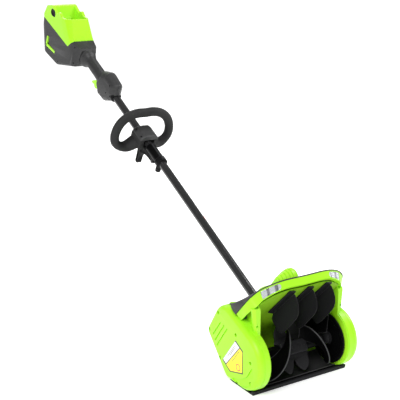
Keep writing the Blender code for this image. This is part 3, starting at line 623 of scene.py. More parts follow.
def buildRoof():
    look = {"thick": 0.0032, "skirt": 0.03}
    outward = [Vector(v).normalized() for v in ((0, 0.62, 0.79), (0, 0.62, 0.79), (0.15, 0.6, 0.78),
                                                (0.62, 0.42, 0.66), (0.96, 0.1, 0.25), (1, 0, 0.05))]
    rear = ((0.0, 0.094, 0.23), (0.074, 0.094, 0.23), (0.128, 0.094, 0.2265), (0.152, 0.098, 0.227),
            (0.1585, 0.101, 0.225), (0.157, 0.104, 0.22))
    columns = []
    for front, back, up in zip(flow([row[0] for row in bandPath], 6), flow(rear, 6), flow(outward, 6)):
        lift = up.normalized() * 0.0005
        drop = look["skirt"] * max(0.0, min(1.0, (0.1345 - back.x) / 0.006))
        rise = [0.0, 0.0008, 0.0012, 0.0008, 0.0]
        column = [front + lift + (back - front) * t + up.normalized() * rise[int(t * 4)]
                  for t in (0, 0.25, 0.5, 0.75, 1)]
        if drop > 0:
            column += [back + Vector((0, 0.003, -0.002 - drop * 0.2)),
                       back + Vector((0, 0.0045, -drop - 0.002))]
        else:
            column += [back + Vector((0, 0.0006, -0.001)), back + Vector((0, 0.001, -0.002))]
        columns.append(column)
    left = [[Vector((-v.x, v.y, v.z)) for v in column] for column in reversed(columns[1:])]
    roof = make("roof_cover", sheet(left + columns))
    if roof.data.polygons[len(roof.data.polygons) // 2].normal.z < 0:
        roof.data.flip_normals()
    bevelled(walled(roof, look["thick"]), 0.001, 2)
    dress(roof, "dark_grey_plastic", "frame", "top_cover")


def buildVanes():
    look = {"lean": 18.0, "thick": 0.0026, "foot": 0.017}
    lean = radians(look["lean"])
    off = Vector((0, -wallOut[0], -wallOut[1]))
    up = Vector((sin(lean), cos(lean) * wallUp[0], cos(lean) * wallUp[1]))
    across = up.cross(off).normalized()
    start = Vector((0, *wallFoot)) + 0.094 * Vector((0, *wallUp))
    fin = fillet([(0.0, 0.004), (-0.017, 0.016), (-0.016, 0.064), (0.002, 0.068), (0.056, 0.064),
                  (0.07, 0.057), (0.083, 0.041), (0.092, 0.004)], 0.012, 5)
    for word, x in (("left", -0.065), ("middle", -0.003), ("right", 0.059)):
        base = start + Vector((x, 0, 0)) + off * 0.0018

        def at(along, height, side):
            return base + up * along + off * height + across * side

        blade = skin([[at(s, h, w * look["thick"] / 2) for s, h in fin] for w in (-1, 1)])
        foot = skin([[at(s, h, w) for w, h in ((-look["foot"], 0.0), (0.006, 0.0), (0.006, 0.0028),
                                               (0.0024, 0.0058), (-0.0024, 0.0058),
                                               (-look["foot"], 0.0028))] for s in (-0.004, 0.094)])
        bead = skin([[at(s, 0.0078 + 0.001 * sin(a), 0.0021 * cos(a)) for a in
                      [tau * k / 8 for k in range(8)]] for s in (0.0, 0.088)])
        vane = bevelled(make(f"snow_vane_{word}", merged([blade, foot, bead])), 0.0009, 3)
        dress(vane, "black_plastic", "frame", f"vane_{word}")


def screwHead(centre, out, radius):
    # a socket-head screw that faces along out
    centre, out = Vector(centre), Vector(out).normalized()
    turn = out.to_track_quat("Z", "Y").to_matrix().to_4x4()
    rings = [(radius, -0.0015), (radius, 0.0), (radius * 0.86, 0.0006), (radius * 0.52, 0.0007)]
    sides = 18
    loops = [[(r * cos(tau * k / sides), r * sin(tau * k / sides), h) for k in range(sides)]
             for r, h in rings]
    for height, size in ((0.0007, 0.5), (-0.0012, 0.46)):
        hexagon = []
        for k in range(sides):
            a = tau * k / sides
            reachOut = cos(pi / 6) / cos((a % (pi / 3)) - pi / 6)
            hexagon.append((radius * size * reachOut * cos(a), radius * size * reachOut * sin(a), height))
        loops.append(hexagon)
    shape = skin(loops)
    bmesh.ops.transform(shape, matrix=Matrix.Translation(centre) @ turn, verts=shape.verts)
    return shape


def buildSidePlates():
    front, motor, corner = lobes["front"], lobes["motor"], lobes["corner"]
    low = [(front[0], front[1], front[2] - 0.002), (motor[0], motor[1], motor[2] - 0.008)]
    high = [(0.015, 0.155, 0.011), corner, (0.096, 0.216, 0.008), (0.136, 0.204, 0.012), low[1]]
    for side, word in ((-1, "left"), (1, "right")):
        inner, outer = sorted((side * head["plateIn"], side * head["plateOut"]))
        wall = make(f"head_side_{word}", plate(band(low, 0, 4), inner, outer))
        carve(wall, [plate(band(high, 0, 4), inner, outer)], "UNION")
        carve(wall, [peg(0.0133, (side * 0.12, *head["auger"]), (side * 0.15, *head["auger"]), 40)])
        bevelled(wall, 0.0007, 2)
        dress(wall, "lime_plastic", "frame", f"{word}_side_plate")
        # the flange that the hood is screwed to
        rows = []
        for z, out, slant, y in ((0.148, 0.1365, 0.1372, 0.0046), (0.17, 0.1405, 0.144, 0.0042),
                                 (0.19, 0.1445, 0.15, 0.004), (0.233, 0.1475, 0.1545, 0.0042),
                                 (0.242, 0.148, 0.1545, 0.006)):
            corners = ((0.1325, y), (out, y), (slant, y + 0.007), (slant - 0.001, y + 0.014),
                       (0.1325, y + 0.014))
            rows.append([(side * x, depth, z) for x, depth in corners])
        flange = make(f"hood_flange_{word}", skin(rows))
        carve(flange, [peg(0.0034, (side * 0.1425, -0.01, 0.193), (side * 0.1425, 0.0085, 0.193), 20)])
        bevelled(flange, 0.001, 2)
        dress(flange, "lime_plastic", "frame")
        # the grey filler between roof, side plate and cover
        rim = [(c[0], c[1], c[2] - 0.0034) for c in high[1:]]
        levels = ((0.1354, 0.0), (0.145, 0.0), (0.1475, 0.0024))
        filler = make(f"shoulder_filler_{word}", stack(levels, rim, side, 6))
        cover = [lobes["front"], lobes["motor"], lobes["back"], lobes["heel"]]
        carve(filler, [stack(((0.12, -0.0004), (0.18, -0.0004)), cover, side, 6),
                       block((-0.2, -0.2, -0.1), (0.2, 0.062, 0.4))])
        dress(bevelled(filler, 0.0008, 2), "dark_grey_plastic", "frame")
    print("hood, band and side plates built")


coverLook = {
    "rows": ((0.1356, 0.0), (0.1514, 0.0), (0.1518, 0.0008), (0.1526, 0.0008), (0.153, 0.0),
             (0.157, 0.0003), (0.1608, 0.0012), (0.164, 0.0027), (0.1667, 0.005), (0.1685, 0.0078),
             (0.1694, 0.0106), (0.1695, 0.0135)),
    "screws": ((0.066, 0.152), (-0.004, 0.097), (0.063, 0.01), (-0.002, 0.036), (0.142, 0.055),
               (0.197, 0.121), (0.152, 0.186)),
    "grooves": (((0.176, 0.114), (0.141, 0.16)), ((0.166, 0.1), (0.123, 0.158)),
                ((0.156, 0.088), (0.108, 0.153))),
    "sticker": ((0.066, 0.137), (0.03, 0.118), (0.029, 0.051), (0.092, 0.033), (0.129, 0.055)),
    "ring": {"centre": (0.052, 0.062), "radius": 0.0105, "hole": 0.74},
    "channel": ((-0.012, 0.088), (-0.024, 0.066), (0.006, 0.022), (0.036, 0.01), (0.07, 0.01),
                (0.082, 0.02), (0.06, 0.026), (0.036, 0.034), (0.012, 0.05)),
}


def buildCovers():
    face = head["coverOut"]
    belt = [lobes["front"], lobes["motor"], lobes["back"], lobes["heel"]]
    plain = [lobes["front"], (0.105, 0.145, 0.048), lobes["heel"]]
    for side, name, circles, node in ((-1, "belt_housing", belt, "belt_cover"),
                                      (1, "bearing_housing", plain, "right_side_cover")):
        cover = make(name, stack(coverLook["rows"], circles, side, 3), sharp=40)
        spots = coverLook["screws"] if side < 0 else coverLook["screws"][:5]
        wells = [peg(0.0052, (side * (face - 0.0075), y, z), (side * (face + 0.01), y, z), 20)
                 for y, z in spots]
        channel = fillet(coverLook["channel"], 0.01, 5)
        shallow = skin([[(side * x, y, z) for y, z in channel] for x in (face - 0.003, face + 0.01)])
        cuts = [merged(wells), shallow]
        if side < 0:
            for start, end in coverLook["grooves"]:
                line = band([(*start, 0.0024), (*end, 0.0024)], 0, 20)
                cuts.append(skin([[(side * x, y, z) for y, z in line] for x in (face - 0.003, face + 0.01)]))
        carve(cover, cuts)
        bevelled(cover, 0.0006, 2, 50)
        dress(cover, "lime_plastic", "frame", node)
        heads = [screwHead((side * (face - 0.007), y, z), (side, 0, 0), 0.0047) for y, z in spots]
        fastened(f"{name}_screws", heads, "frame")
    # the blank sticker: a dark border with a white and a yellow field
    outline = [Vector(point) for point in coverLook["sticker"]]

    def shrunk(points, amount):
        centre = sum(points, Vector((0, 0))) / len(points)
        return [centre + (p - centre) * (1 - amount / (p - centre).length) for p in points]

    top, nose, low, heel, tail = outline
    split = (top + (nose - top) * 0.62, tail + (heel - tail) * 0.42)
    upper = shrunk([top, split[0], split[1], tail], 0.0046)
    lower = shrunk([split[0], nose, low, heel, split[1]], 0.0046)
    fields = (("sticker_border", "label_border", outline, 0.00022),
              ("sticker_upper_field", "label_white", upper, 0.00034),
              ("sticker_lower_field", "label_yellow", lower, 0.00034))
    for name, finish, points, lift in fields:
        line = fillet(points, 0.002, 3)
        dress(make(name, plate(line, -face - lift, -face + 0.0001)), finish, "frame", slot="lime_plastic")
    run = (tail - top).normalized()
    inward = (split[0] - top).normalized()
    bars = []
    for offset, start, end in ((0.0075, 0.018, 0.074), (0.012, 0.024, 0.06), (0.03, 0.016, 0.07)):
        base = top + inward * offset
        line = [base + run * start, base + run * end, base + run * end + inward * 0.0014,
                base + run * start + inward * 0.0014]
        bars.append(plate(line, -face - 0.00042, -face - 0.0003))
    dress(make("sticker_bars", merged(bars)), "label_border", "frame", slot="lime_plastic")
    look = coverLook["ring"]
    (y0, z0), radius = look["centre"], look["radius"]
    outer = [(y0 + radius * cos(tau * k / 28), z0 + radius * sin(tau * k / 28)) for k in range(28)]
    inner = [(y0 + (y - y0) * look["hole"], z0 + (z - z0) * look["hole"]) for y, z in outer]
    steps = ((outer, 0.0003), (outer, 0.00044), (inner, 0.00044), (inner, 0.0003))
    ring = skin([[(-face - lift, y, z) for y, z in line] for line, lift in steps], ring=True)
    dress(make("sticker_ring", ring), "label_red", "frame", slot="lime_plastic")
    print("covers built")


def buildSole():
    outline = fillet([(-0.006, 0.0), (0.094, 0.0), (0.104, 0.002), (0.104, 0.0035), (0.006, 0.0035),
                      (0.002, 0.01), (-0.008, 0.011), (-0.008, 0.004)], 0.0012, 2)
    sole = make("wear_sole", plate(outline, -0.16, 0.16))
    holes = [peg(0.003, (x, 0.088, 0.0028), (x, 0.088, 0.01), 18) for x in (-0.135, -0.045, 0.045, 0.135)]
    carve(sole, [merged(holes)])
    dress(bevelled(sole, 0.0006, 2), "black_plastic", "frame", "sole_plate")
    arcIn = arc(head["auger"], head["scoop"], -114, -48, 20)
    arcOut = arc(head["auger"], head["scoop"] + 0.0018, -48, -114, 20)
    floor = bevelled(make("scoop_liner", plate(arcIn + arcOut, -head["half"], head["half"])), 0.0004, 2)
    dress(floor, "dark_grey_plastic", "frame", "scoop_floor")


def buildRearHousing():
    look = {"circles": [(0.122, 0.158, 0.05), (0.18, 0.12, 0.022), (0.112, 0.045, 0.025)],
            "turret": [(0.128, 0.193, 0.046), (0.15, 0.14, 0.04)],
            "rows": ((-0.056, 0.028), (-0.05, 0.02), (-0.038, 0.008), (-0.026, 0.0016), (-0.018, 0.0),
                     (0.07, 0.0), (0.078, 0.0016), (0.09, 0.008), (0.102, 0.02), (0.108, 0.028))}
    half = head["half"] - 0.0003
    housing = make("rear_shell", stack(((-half, 0.0), (half, 0.0)), look["circles"], 1, 4), sharp=40)
    carve(housing, [stack(look["rows"], look["turret"], 1, 5)], "UNION")
    reachOut = head["scoop"] + head["wall"] + 0.0006
    space = arc(head["auger"], reachOut, -100, head["tilt"], 24)
    space.append((space[-1][0] + 0.25 * wallUp[0], space[-1][1] + 0.25 * wallUp[1]))
    space += [(-0.15, space[-1][1]), (-0.15, space[0][1])]
    cuts = [plate(space, -0.2, 0.2)]
    for i in range(7):
        x = -0.006 + 0.0085 * i
        slot = band([(0.196, 0.146, 0.0016), (0.182, 0.2, 0.0016)], 0, 30)
        cuts.append(plate(slot, x, x + 0.0036))
    for side in (-1, 1):
        for i in range(4):
            x = side * (0.095 + 0.008 * i)
            slit = band([(0.203, 0.124, 0.0022), (0.18, 0.156, 0.0022)], 0, 30)
            cuts.append(plate(slit, x - 0.0016, x + 0.0016))
    carve(housing, [merged(cuts[1:]), cuts[0]])
    carve(housing, [shaftBore(0.017, 0.3, 0.5)], place=shaftPlace)
    bevelled(housing, 0.0008, 2, 45)
    dress(housing, "lime_plastic", "frame", "rear_housing")
    spots = [(side * 0.112, 0.1965, 0.1005) for side in (-1, 1)]
    spots += [(side * 0.05, 0.14, 0.025) for side in (-1, 1)]
    heads = [screwHead(spot, (0, 0.85, -0.5), 0.0036) for spot in spots]
    fastened("rear_screws", heads, "frame")


def buildMotorBump():
    # the ribbed dome over the cooling intake
    look = {"circles": [(0.108, 0.26, 0.028), (0.14, 0.225, 0.024)],
            "steps": ((-0.007, 0.0215), (-0.002, 0.0165), (0.008, 0.012), (0.018, 0.007), (0.028, 0.003),
                      (0.037, 0.0), (0.049, 0.0), (0.054, 0.003), (0.058, 0.0095)),
            "groove": 0.0026}
    rows = []
    for (x, inset), (nextX, nextInset) in zip(look["steps"], look["steps"][1:]):
        rows += [(x, inset), (nextX - 0.0016, nextInset * 0.7 + inset * 0.3)]
        if nextX < 0.052:
            rows += [(nextX - 0.0013, nextInset * 0.7 + inset * 0.3 + look["groove"]),
                     (nextX - 0.0003, nextInset + look["groove"])]
    rows.append(look["steps"][-1])
    dome = make("motor_dome", stack(rows, look["circles"], 1, 5), sharp=38)
    roof = [(0.0, 0.308), (0.0985, 0.233), (0.0985, 0.18), (0.0, 0.18)]
    carve(dome, [plate(roof, -0.1, 0.1)])
    bevelled(dome, 0.0006, 2, 45)
    dress(dome, "lime_plastic", "frame", "motor_cover")
    print("housings built")


def buildAuger():
    look = {"root": 0.016, "tip": 0.0722, "thick": 0.0034, "low": 0.0225, "high": 0.1225, "steps": 72}
    y, z = head["auger"]
    place = Matrix.Translation((0, y, z))
    for side, word in ((-1, "left"), (1, "right")):
        for number, start in ((1, 95.0), (2, 275.0)):
            loops = []
            for i in range(look["steps"] + 1):
                t = i / look["steps"]
                x = side * (look["low"] + (look["high"] - look["low"]) * t)
                a = radians(start + 180 * t)
                tip = look["tip"] - 0.01 * max(0.0, 1 - t * 8) ** 2
                corners = ((look["root"], -1.3), (look["root"] + 0.003, -0.85), (tip - 0.004, -0.62),
                           (tip - 0.003, -0.95), (tip - 0.0006, -0.85), (tip, 0), (tip - 0.0006, 0.85),
                           (tip - 0.003, 0.95), (tip - 0.004, 0.62), (look["root"] + 0.003, 0.85),
                           (look["root"], 1.3))
                loops.append([(x + w * look["thick"] / 2, r * cos(a), r * sin(a)) for r, w in corners])
            blade = make(f"screw_blade_{word}_{number}", skin(loops), place)
            dress(blade, "black_rubber", "auger", f"auger_flight_{word}_{number}")
        rings = [(0.0063, 0.0034), (0.02, 0.0034), (0.02, 0.0021), (0.056, 0.0021), (0.058, 0.0034),
                 (0.072, 0.0034), (0.0728, 0.0026), (0.0728, 0.0008), (0.072, 0.0), (0.0063, 0.0),
                 (0.0063, 0.0034)]
        disc = turned(f"end_disc_{word}", rings, soft=0.0003)
        turn = Matrix.Rotation(radians(-90 * side), 4, "Y")
        settle(disc, place @ Matrix.Translation((side * 0.1296, 0, 0)) @ turn)
        dress(disc, "black_plastic", "auger", f"auger_disc_{word}")
    tongues = flow(((-0.05, 0.03), (-0.047, 0.0164), (0.04, 0.0164), (0.044, 0.03), (0.041, 0.054),
                    (0.023, 0.0695), (0.006, 0.056), (-0.004, 0.036), (-0.013, 0.056), (-0.026, 0.0695),
                    (-0.045, 0.052)), 6, closed=True)
    for number, turn in ((1, 62.0), (2, 242.0)):
        loops = [[(x, max(r, 0.015), w) for x, r in tongues] for w in (-0.0022, 0.0022)]
        paddle = make(f"throwing_paddle_{number}", skin(loops),
                      place @ Matrix.Rotation(radians(turn), 4, "X"))
        dress(bevelled(paddle, 0.0012), "black_rubber", "auger", f"auger_paddle_{number}")
    hub = turned("auger_core", [(0.0063, 0.122), (0.016, 0.122), (0.016, 0.1), (0.0172, 0.098),
                                (0.0172, 0.094), (0.016, 0.092), (0.016, -0.092), (0.0172, -0.094),
                                (0.0172, -0.098), (0.016, -0.1), (0.016, -0.122), (0.0063, -0.122),
                                (0.0063, 0.122)])
    settle(hub, place @ Matrix.Rotation(radians(90), 4, "Y"))
    dress(hub, "black_plastic", "auger", "auger_hub")
    core = make("paddle_block", block((-0.046, -0.0185, -0.0185), (0.04, 0.0185, 0.0185)),
                place @ Matrix.Rotation(radians(62), 4, "X"))
    dress(bevelled(core, 0.0035), "black_plastic", "auger")
    bolts = []
    for x in (-0.036, -0.012, 0.012, 0.03):
        for turn in (152, 332):
            out = Vector((0, cos(radians(turn)), sin(radians(turn))))
            bolts.append(screwHead(Vector((x, y, z)) + out * 0.019, out, 0.003))
    fastened("paddle_bolts", bolts, "auger")
    print("auger built")


def alongShaft(name, profile, soft=0.0, steps=64):
    # a profile of (radius, station) turned about the shaft, from its top to its bottom
    return turned(name, profile, shaftPlace @ Matrix.Rotation(radians(-90), 4, "X"), steps, soft)


def buildShaft():
    tube = {"radius": 0.013, "bore": 0.0114, "tag": 0.01306}
    r, bore, tag = tube["radius"], tube["bore"], tube["tag"]
    lower = alongShaft("lower_tube", [(bore, 1.0177), (r - 0.0004, 1.0177), (r, 1.0172), (r, 0.266),
                                      (bore, 0.266), (bore, 1.0177)])
    dress(lower, "painted_tube", "frame", "lower_shaft")
    upper = alongShaft("upper_tube", [(bore, 1.38), (r, 1.38), (r, 1.0188), (r - 0.0004, 1.0183),
                                      (bore, 1.0183), (bore, 1.38)])
    dress(upper, "painted_tube", "frame", "upper_shaft")
    collar = alongShaft("shaft_collar", [(0.0132, 0.364), (0.0148, 0.364), (0.0165, 0.3615),
                                         (0.0165, 0.356), (0.0158, 0.355), (0.0158, 0.35), (0.0165, 0.349),
                                         (0.0165, 0.267), (0.029, 0.263), (0.029, 0.259), (0.0132, 0.259),
                                         (0.0132, 0.364)], 0.0005)
    dress(collar, "black_plastic", "frame", "shaft_socket")
    for name, finish, low, high, wide in (("tube_tag_lower", "label_green", 0.624, 0.668, 100),
                                          ("tube_tag_upper", "label_white", 0.708, 0.766, 120),
                                          ("tube_tag_end", "label_red", 0.689, 0.7078, 120)):
        rows = []
        for i in range(3):
            station = low + (high - low) * i / 2
            angles = [radians(-60 + wide * k / 24) for k in range(25)]
            rows.append([(tag * cos(a), station, tag * sin(a)) for a in angles])
        label = walled(make(name, sheet(rows), shaftPlace, 60), 0.00012, 0.0)
        dress(label, finish, "frame", slot="painted_tube")


def buildCoupler():
    look = {"low": 0.974, "high": 1.064, "pivot": (1.022, -0.0255), "knob": 0.988}
    low, high, pivot = look["low"], look["high"], look["pivot"]
    sleeve = alongShaft("coupler_body", [
        (0.0132, high), (0.0156, high), (0.0168, high - 0.0015), (0.0168, low + 0.023), (0.018, low + 0.02),
        (0.0196, low + 0.0175), (0.0196, low + 0.013), (0.019, low + 0.0122), (0.019, low + 0.01),
        (0.0196, low + 0.0092), (0.0196, low + 0.0016), (0.0186, low), (0.0132, low), (0.0132, high)], 0.0004)
    pieces = [block((-0.004, low + 0.001, 0.017), (0.004, low + 0.013, 0.0262)),
              block((-0.0034, low + 0.012, 0.015), (0.0034, high - 0.004, 0.0182))]
    for side in (-1, 1):
        inner, outer = sorted((side * 0.0085, side * 0.0125))
        pieces.append(plate(band([(*pivot, 0.0062), (pivot[0], -0.012, 0.0095)], 0, 10), inner, outer))
    pieces.append(peg(0.0074, (0, look["knob"], -0.011), (0, look["knob"], -0.0226), 32))
    fittings = bevelled(make("coupler_fittings", merged(pieces), shaftPlace), 0.0008, 2)
    dress(sleeve, "black_plastic", "frame", "coupler_sleeve")
    dress(fittings, "black_plastic", "frame")
    cap = make("latch_button", block((-0.003, low + 0.0025, 0.0255), (0.003, low + 0.0115, 0.0272)),
               shaftPlace)
    dress(bevelled(cap, 0.0007, 2), "dark_grey_plastic", "frame")

    outline = flow(((1.0235, -0.0186), (1.06, -0.0198), (1.1, -0.02), (1.126, -0.0215), (1.13, -0.03),
                    (1.1285, -0.04), (1.1215, -0.056), (1.119, -0.08), (1.1175, -0.1), (1.1095, -0.103),
                    (1.102, -0.099), (1.1015, -0.076), (1.096, -0.056), (1.084, -0.044), (1.066, -0.037),
                    (1.046, -0.034), (1.02, -0.033), (1.0162, -0.0304), (1.0146, -0.0255),
                    (1.0168, -0.0207)), 5, closed=True)
    lever = make("latch_lever", plate(outline, -0.008, 0.008), shaftPlace)
    hollows = (((1.03, -0.0235), (1.088, -0.0235), (1.106, -0.05), (1.1, -0.05), (1.082, -0.039),
                (1.03, -0.03)),
               ((1.106, -0.058), (1.1165, -0.058), (1.1135, -0.095), (1.1065, -0.095)))
    ribs = [skin([[(side * x, a, n) for a, n in fillet(line, 0.003, 3)] for x in (0.0062, 0.02)])
            for side in (-1, 1) for line in hollows]
    carve(lever, ribs, place=shaftPlace)
    carve(lever, [peg(0.0024, (-0.02, *pivot), (0.02, *pivot))], place=shaftPlace)
    dress(bevelled(lever, 0.0014, 3, 40), "black_plastic", "lever", "coupler_lever")

    loops = []
    for height, radius, ribbed in ((-0.0228, 0.006, 0), (-0.0236, 0.0082, 0), (-0.0255, 0.0095, 1),
                                   (-0.0395, 0.0095, 1), (-0.0412, 0.0084, 0), (-0.0418, 0.006, 0)):
        ring = []
        for k in range(72):
            a = tau * k / 72
            wave = 1 - ribbed * 0.07 * (0.5 + 0.5 * cos(12 * a)) ** 2
            ring.append((radius * wave * cos(a), look["knob"] + radius * wave * sin(a), height))
        loops.append(ring)
    knob = bevelled(make("clamp_knob", skin(loops), shaftPlace, 40), 0.0003, 2, 40)
    dress(knob, "black_plastic", "knob", "coupler_knob")
    print("shaft and coupler built")


def buildLoop():
    look = {"bar": 0.0152, "clamp": (1.078, 1.142), "middle": 1.13, "rake": 0.15,
            "path": ((0.0, 0.084), (0.03, 0.0845), (0.058, 0.0775), (0.082, 0.061), (0.097, 0.038),
                     (0.1035, 0.01), (0.099, -0.015), (0.083, -0.031), (0.06, -0.033), (0.036, -0.018),
                     (0.016, -0.004))}
    low, high = look["clamp"]
    right = flow([(x, look["middle"] + look["rake"] * off, off) for x, off in look["path"]], 7)
    left = [Vector((-v.x, v.y, v.z)) for v in reversed(right[1:])]
    path = left + right
    loops = []
    for i, spot in enumerate(path):
        ahead = path[min(i + 1, len(path) - 1)] - path[max(i - 1, 0)]
        side = ahead.cross(Vector((0, 1, look["rake"]))).normalized()
        rise = side.cross(ahead).normalized()
        near = 1 - min(i, len(path) - 1 - i) / (len(right) - 1)      # 1 at the hub, 0 at the top
        web = max(0.0, (near - 0.6) / 0.4)
        web = web * web * (3 - 2 * web)
        tall = look["bar"] * (1 + 0.95 * web)
        thin = look["bar"] * (1 - 0.3 * web)
        centre = spot + Vector((0, -0.013 * web, 0))
        loops.append([centre + side * thin * cos(tau * k / 24) + rise * tall * sin(tau * k / 24)
                      for k in range(24)])
    bar = make("loop_grip", skin(loops), shaftPlace)
    carve(bar, [shaftBore(0.0131, 1.03, 1.19)], place=shaftPlace)
    dress(bar, "grip_rubber", "loop", "loop_handle")

    body = fillet([(-0.0345, 0.016), (-0.0345, -0.01), (-0.023, -0.0205), (0.023, -0.0205), (0.0345, -0.01),
                   (0.0345, 0.016)], 0.006, 4)
    hub = make("loop_hub", skin([[(x, station, n) for x, n in body] for station in (low, high)]), shaftPlace)
    mouth = fillet([(-0.02, 0.0162), (-0.0175, -0.0125), (0.0175, -0.0125), (0.02, 0.0162)], 0.004, 4)
    carve(hub, [shaftBore(0.0131, 1.03, 1.19),
                skin([[(x, station, n) for x, n in mouth] for station in (low - 0.01, low + 0.016)])],
          place=shaftPlace)
    dress(bevelled(hub, 0.0014), "grip_rubber", "loop")

    crown = [(-0.034, 0.0163), (-0.0335, 0.0215), (-0.0215, 0.0318), (0.0, 0.0332), (0.0215, 0.0318),
             (0.0335, 0.0215), (0.034, 0.0163)]
    loops = []
    for station, shrink in ((low + 0.001, 0.003), (low + 0.004, 0.0008), (low + 0.01, 0.0),
                            (high - 0.01, 0.0), (high - 0.004, 0.0008), (high - 0.001, 0.003)):
        loops.append([(x * (1 - shrink * 12), station, 0.0163 + (n - 0.0163) * (1 - shrink * 40))
                      for x, n in crown])
    cap = make("clamp_cap", skin(loops), shaftPlace)
    slope = Vector((0.0103, 0, 0.012)).normalized()
    spots = [Vector((side * 0.0275, station, 0.0267)) for side in (-1, 1)
             for station in (low + 0.013, high - 0.013)]
    outs = [Vector((slope.x * (1 if spot.x > 0 else -1), 0, slope.z)) for spot in spots]
    carve(cap, [merged([peg(0.0036, spot - out * 0.005, spot + out * 0.01, 20)
                        for spot, out in zip(spots, outs)])], place=shaftPlace)
    dress(bevelled(cap, 0.0022, 3, 30), "dark_grey_plastic", "loop", "clamp_cover")
    heads = [screwHead(spot - out * 0.0046, out, 0.003) for spot, out in zip(spots, outs)]
    fastened("clamp_screws", heads, "loop", shaftPlace)
    nuts = [peg(0.0045, (x, low - 0.0006, -0.004), (x, low + 0.006, -0.004), 6) for x in (-0.024, 0.024)]
    nuts.append(block((-0.015, low - 0.001, -0.019), (-0.004, low + 0.012, -0.0135)))
    nuts = bevelled(make("clamp_nuts", merged(nuts), shaftPlace), 0.0006, 2)
    dress(nuts, "screw_steel", "loop", slot="steel")
    print("loop handle built")


def buildTriggerHandle():
    look = {"circles": [(1.342, 0.044, 0.011), (1.4, 0.047, 0.014), (1.44, 0.027, 0.012),
                        (1.464, -0.025, 0.011), (1.442, -0.049, 0.011), (1.4, -0.045, 0.011),
                        (1.366, -0.024, 0.008), (1.338, 0.015, 0.007)],
            "rows": ((0.00015, 1.0), (0.005, 0.995), (0.012, 0.93), (0.0185, 0.81), (0.0225, 0.7),
                     (0.024, 0.6)),
            "heart": Vector((1.398, 0.002)), "drop": 0.0055,
            "screws": ((1.376, -0.004), (1.408, -0.038), (1.362, 0.036)),
            "grip": ((1.43, 0.0215, 0.0215), (1.46, 0.0205, 0.0212), (1.49, 0.0195, 0.0212),
                     (1.53, 0.0192, 0.021), (1.552, 0.0196, 0.0216), (1.564, 0.0225, 0.0265),
                     (1.574, 0.0265, 0.033), (1.5876, 0.0295, 0.0365))}
    for side, word in ((-1, "left"), (1, "right")):
        line = [Vector(point) for point in band(look["circles"], 0, 6)]
        loops = [[(side * x, *(look["heart"] + (point - look["heart"]) * size)) for point in line]
                 for x, size in look["rows"]]
        bulb = make(f"handle_half_{word}", skin(loops), sharp=24)
        carve(bulb, [shaftBore(0.015, 1.25, 1.352),
                     block((-0.007, 1.45, -0.09), (0.007, 1.502, -0.014))], place=still)
        carve(bulb, [merged([peg(0.003, (side * 0.0165, a, n), (side * 0.04, a, n), 18)
                             for a, n in look["screws"]])])
        if side > 0:
            carve(bulb, [peg(0.0074, (0.01, 1.42, 0.025), (0.04, 1.42, 0.025), 32)])
        bulb.data.transform(shaftPlace)
        dress(bevelled(bulb, 0.0012, 2, 30), "dark_grey_plastic", "frame", f"handle_{word}")
        heads = [screwHead((side * 0.0172, a, n), (side, 0, 0), 0.0027) for a, n in look["screws"]]
        fastened(f"handle_screws_{word}", heads, "frame", shaftPlace)
        stations = [Vector(row) for row in look["grip"]]
        loops = []
        for station, wide, tall in flow(stations, 5):
            drop = -look["drop"] * max(0.0, min(1.0, (station - 1.552) / 0.036))
            ring = []
            for k in range(21):
                a = radians(-90 + 180 * k / 20)
                x = wide * abs(cos(a)) ** 0.85
                n = tall * copysign(abs(sin(a)) ** 0.9, sin(a))
                ring.append((side * max(x, 0.00015), station, n + drop))
            loops.append(ring)
        neck = make(f"grip_half_{word}", skin(loops), shaftPlace, 40)
        carve(neck, [block((-0.007, 1.43, -0.09), (0.007, 1.502, -0.014))], place=shaftPlace)
        dress(neck, "dark_grey_plastic", "frame")
    seal = alongShaft("tube_entry", [(0.0131, 1.356), (0.02, 1.356), (0.0195, 1.339), (0.0178, 1.336),
                                     (0.0131, 1.336), (0.0131, 1.356)], 0.0006)
    dress(seal, "black_plastic", "frame")
    gasket = []
    for station, grow in ((1.586, -0.0006), (1.5866, 0.0), (1.5892, 0.0), (1.5898, -0.0006)):
        gasket.append([((0.0288 + grow) * cos(tau * k / 40), station,
                        (0.0358 + grow) * sin(tau * k / 40) - look["drop"]) for k in range(40)])
    dress(make("neck_gasket", skin(gasket), shaftPlace), "black_rubber", "frame")


def buildTriggerParts():
    outline = flow(((1.46, -0.025), (1.476, -0.0255), (1.49, -0.033), (1.504, -0.043), (1.513, -0.052),
                    (1.5125, -0.0575), (1.504, -0.057), (1.495, -0.055), (1.489, -0.0605), (1.479, -0.062),
                    (1.47, -0.056), (1.461, -0.043)), 5, closed=True)
    lever = make("finger_trigger", plate(outline, -0.006, 0.006), shaftPlace)
    dress(bevelled(lever, 0.0014, 3, 40), "lime_plastic", "trigger_piece", "trigger")
    place = shaftPlace @ Matrix.Translation((0.026, 1.42, 0.025)) @ Matrix.Rotation(radians(90), 4, "Y")
    button = turned("safety_button", [(0.0, 0.0034), (0.0035, 0.003), (0.0052, 0.0035), (0.0066, 0.0024),
                                      (0.0068, 0.001), (0.0068, -0.0104), (0.0, -0.0104)], place, 40)
    dress(button, "black_plastic", "lock_off", "lock_off_button")
    print("trigger handle built")


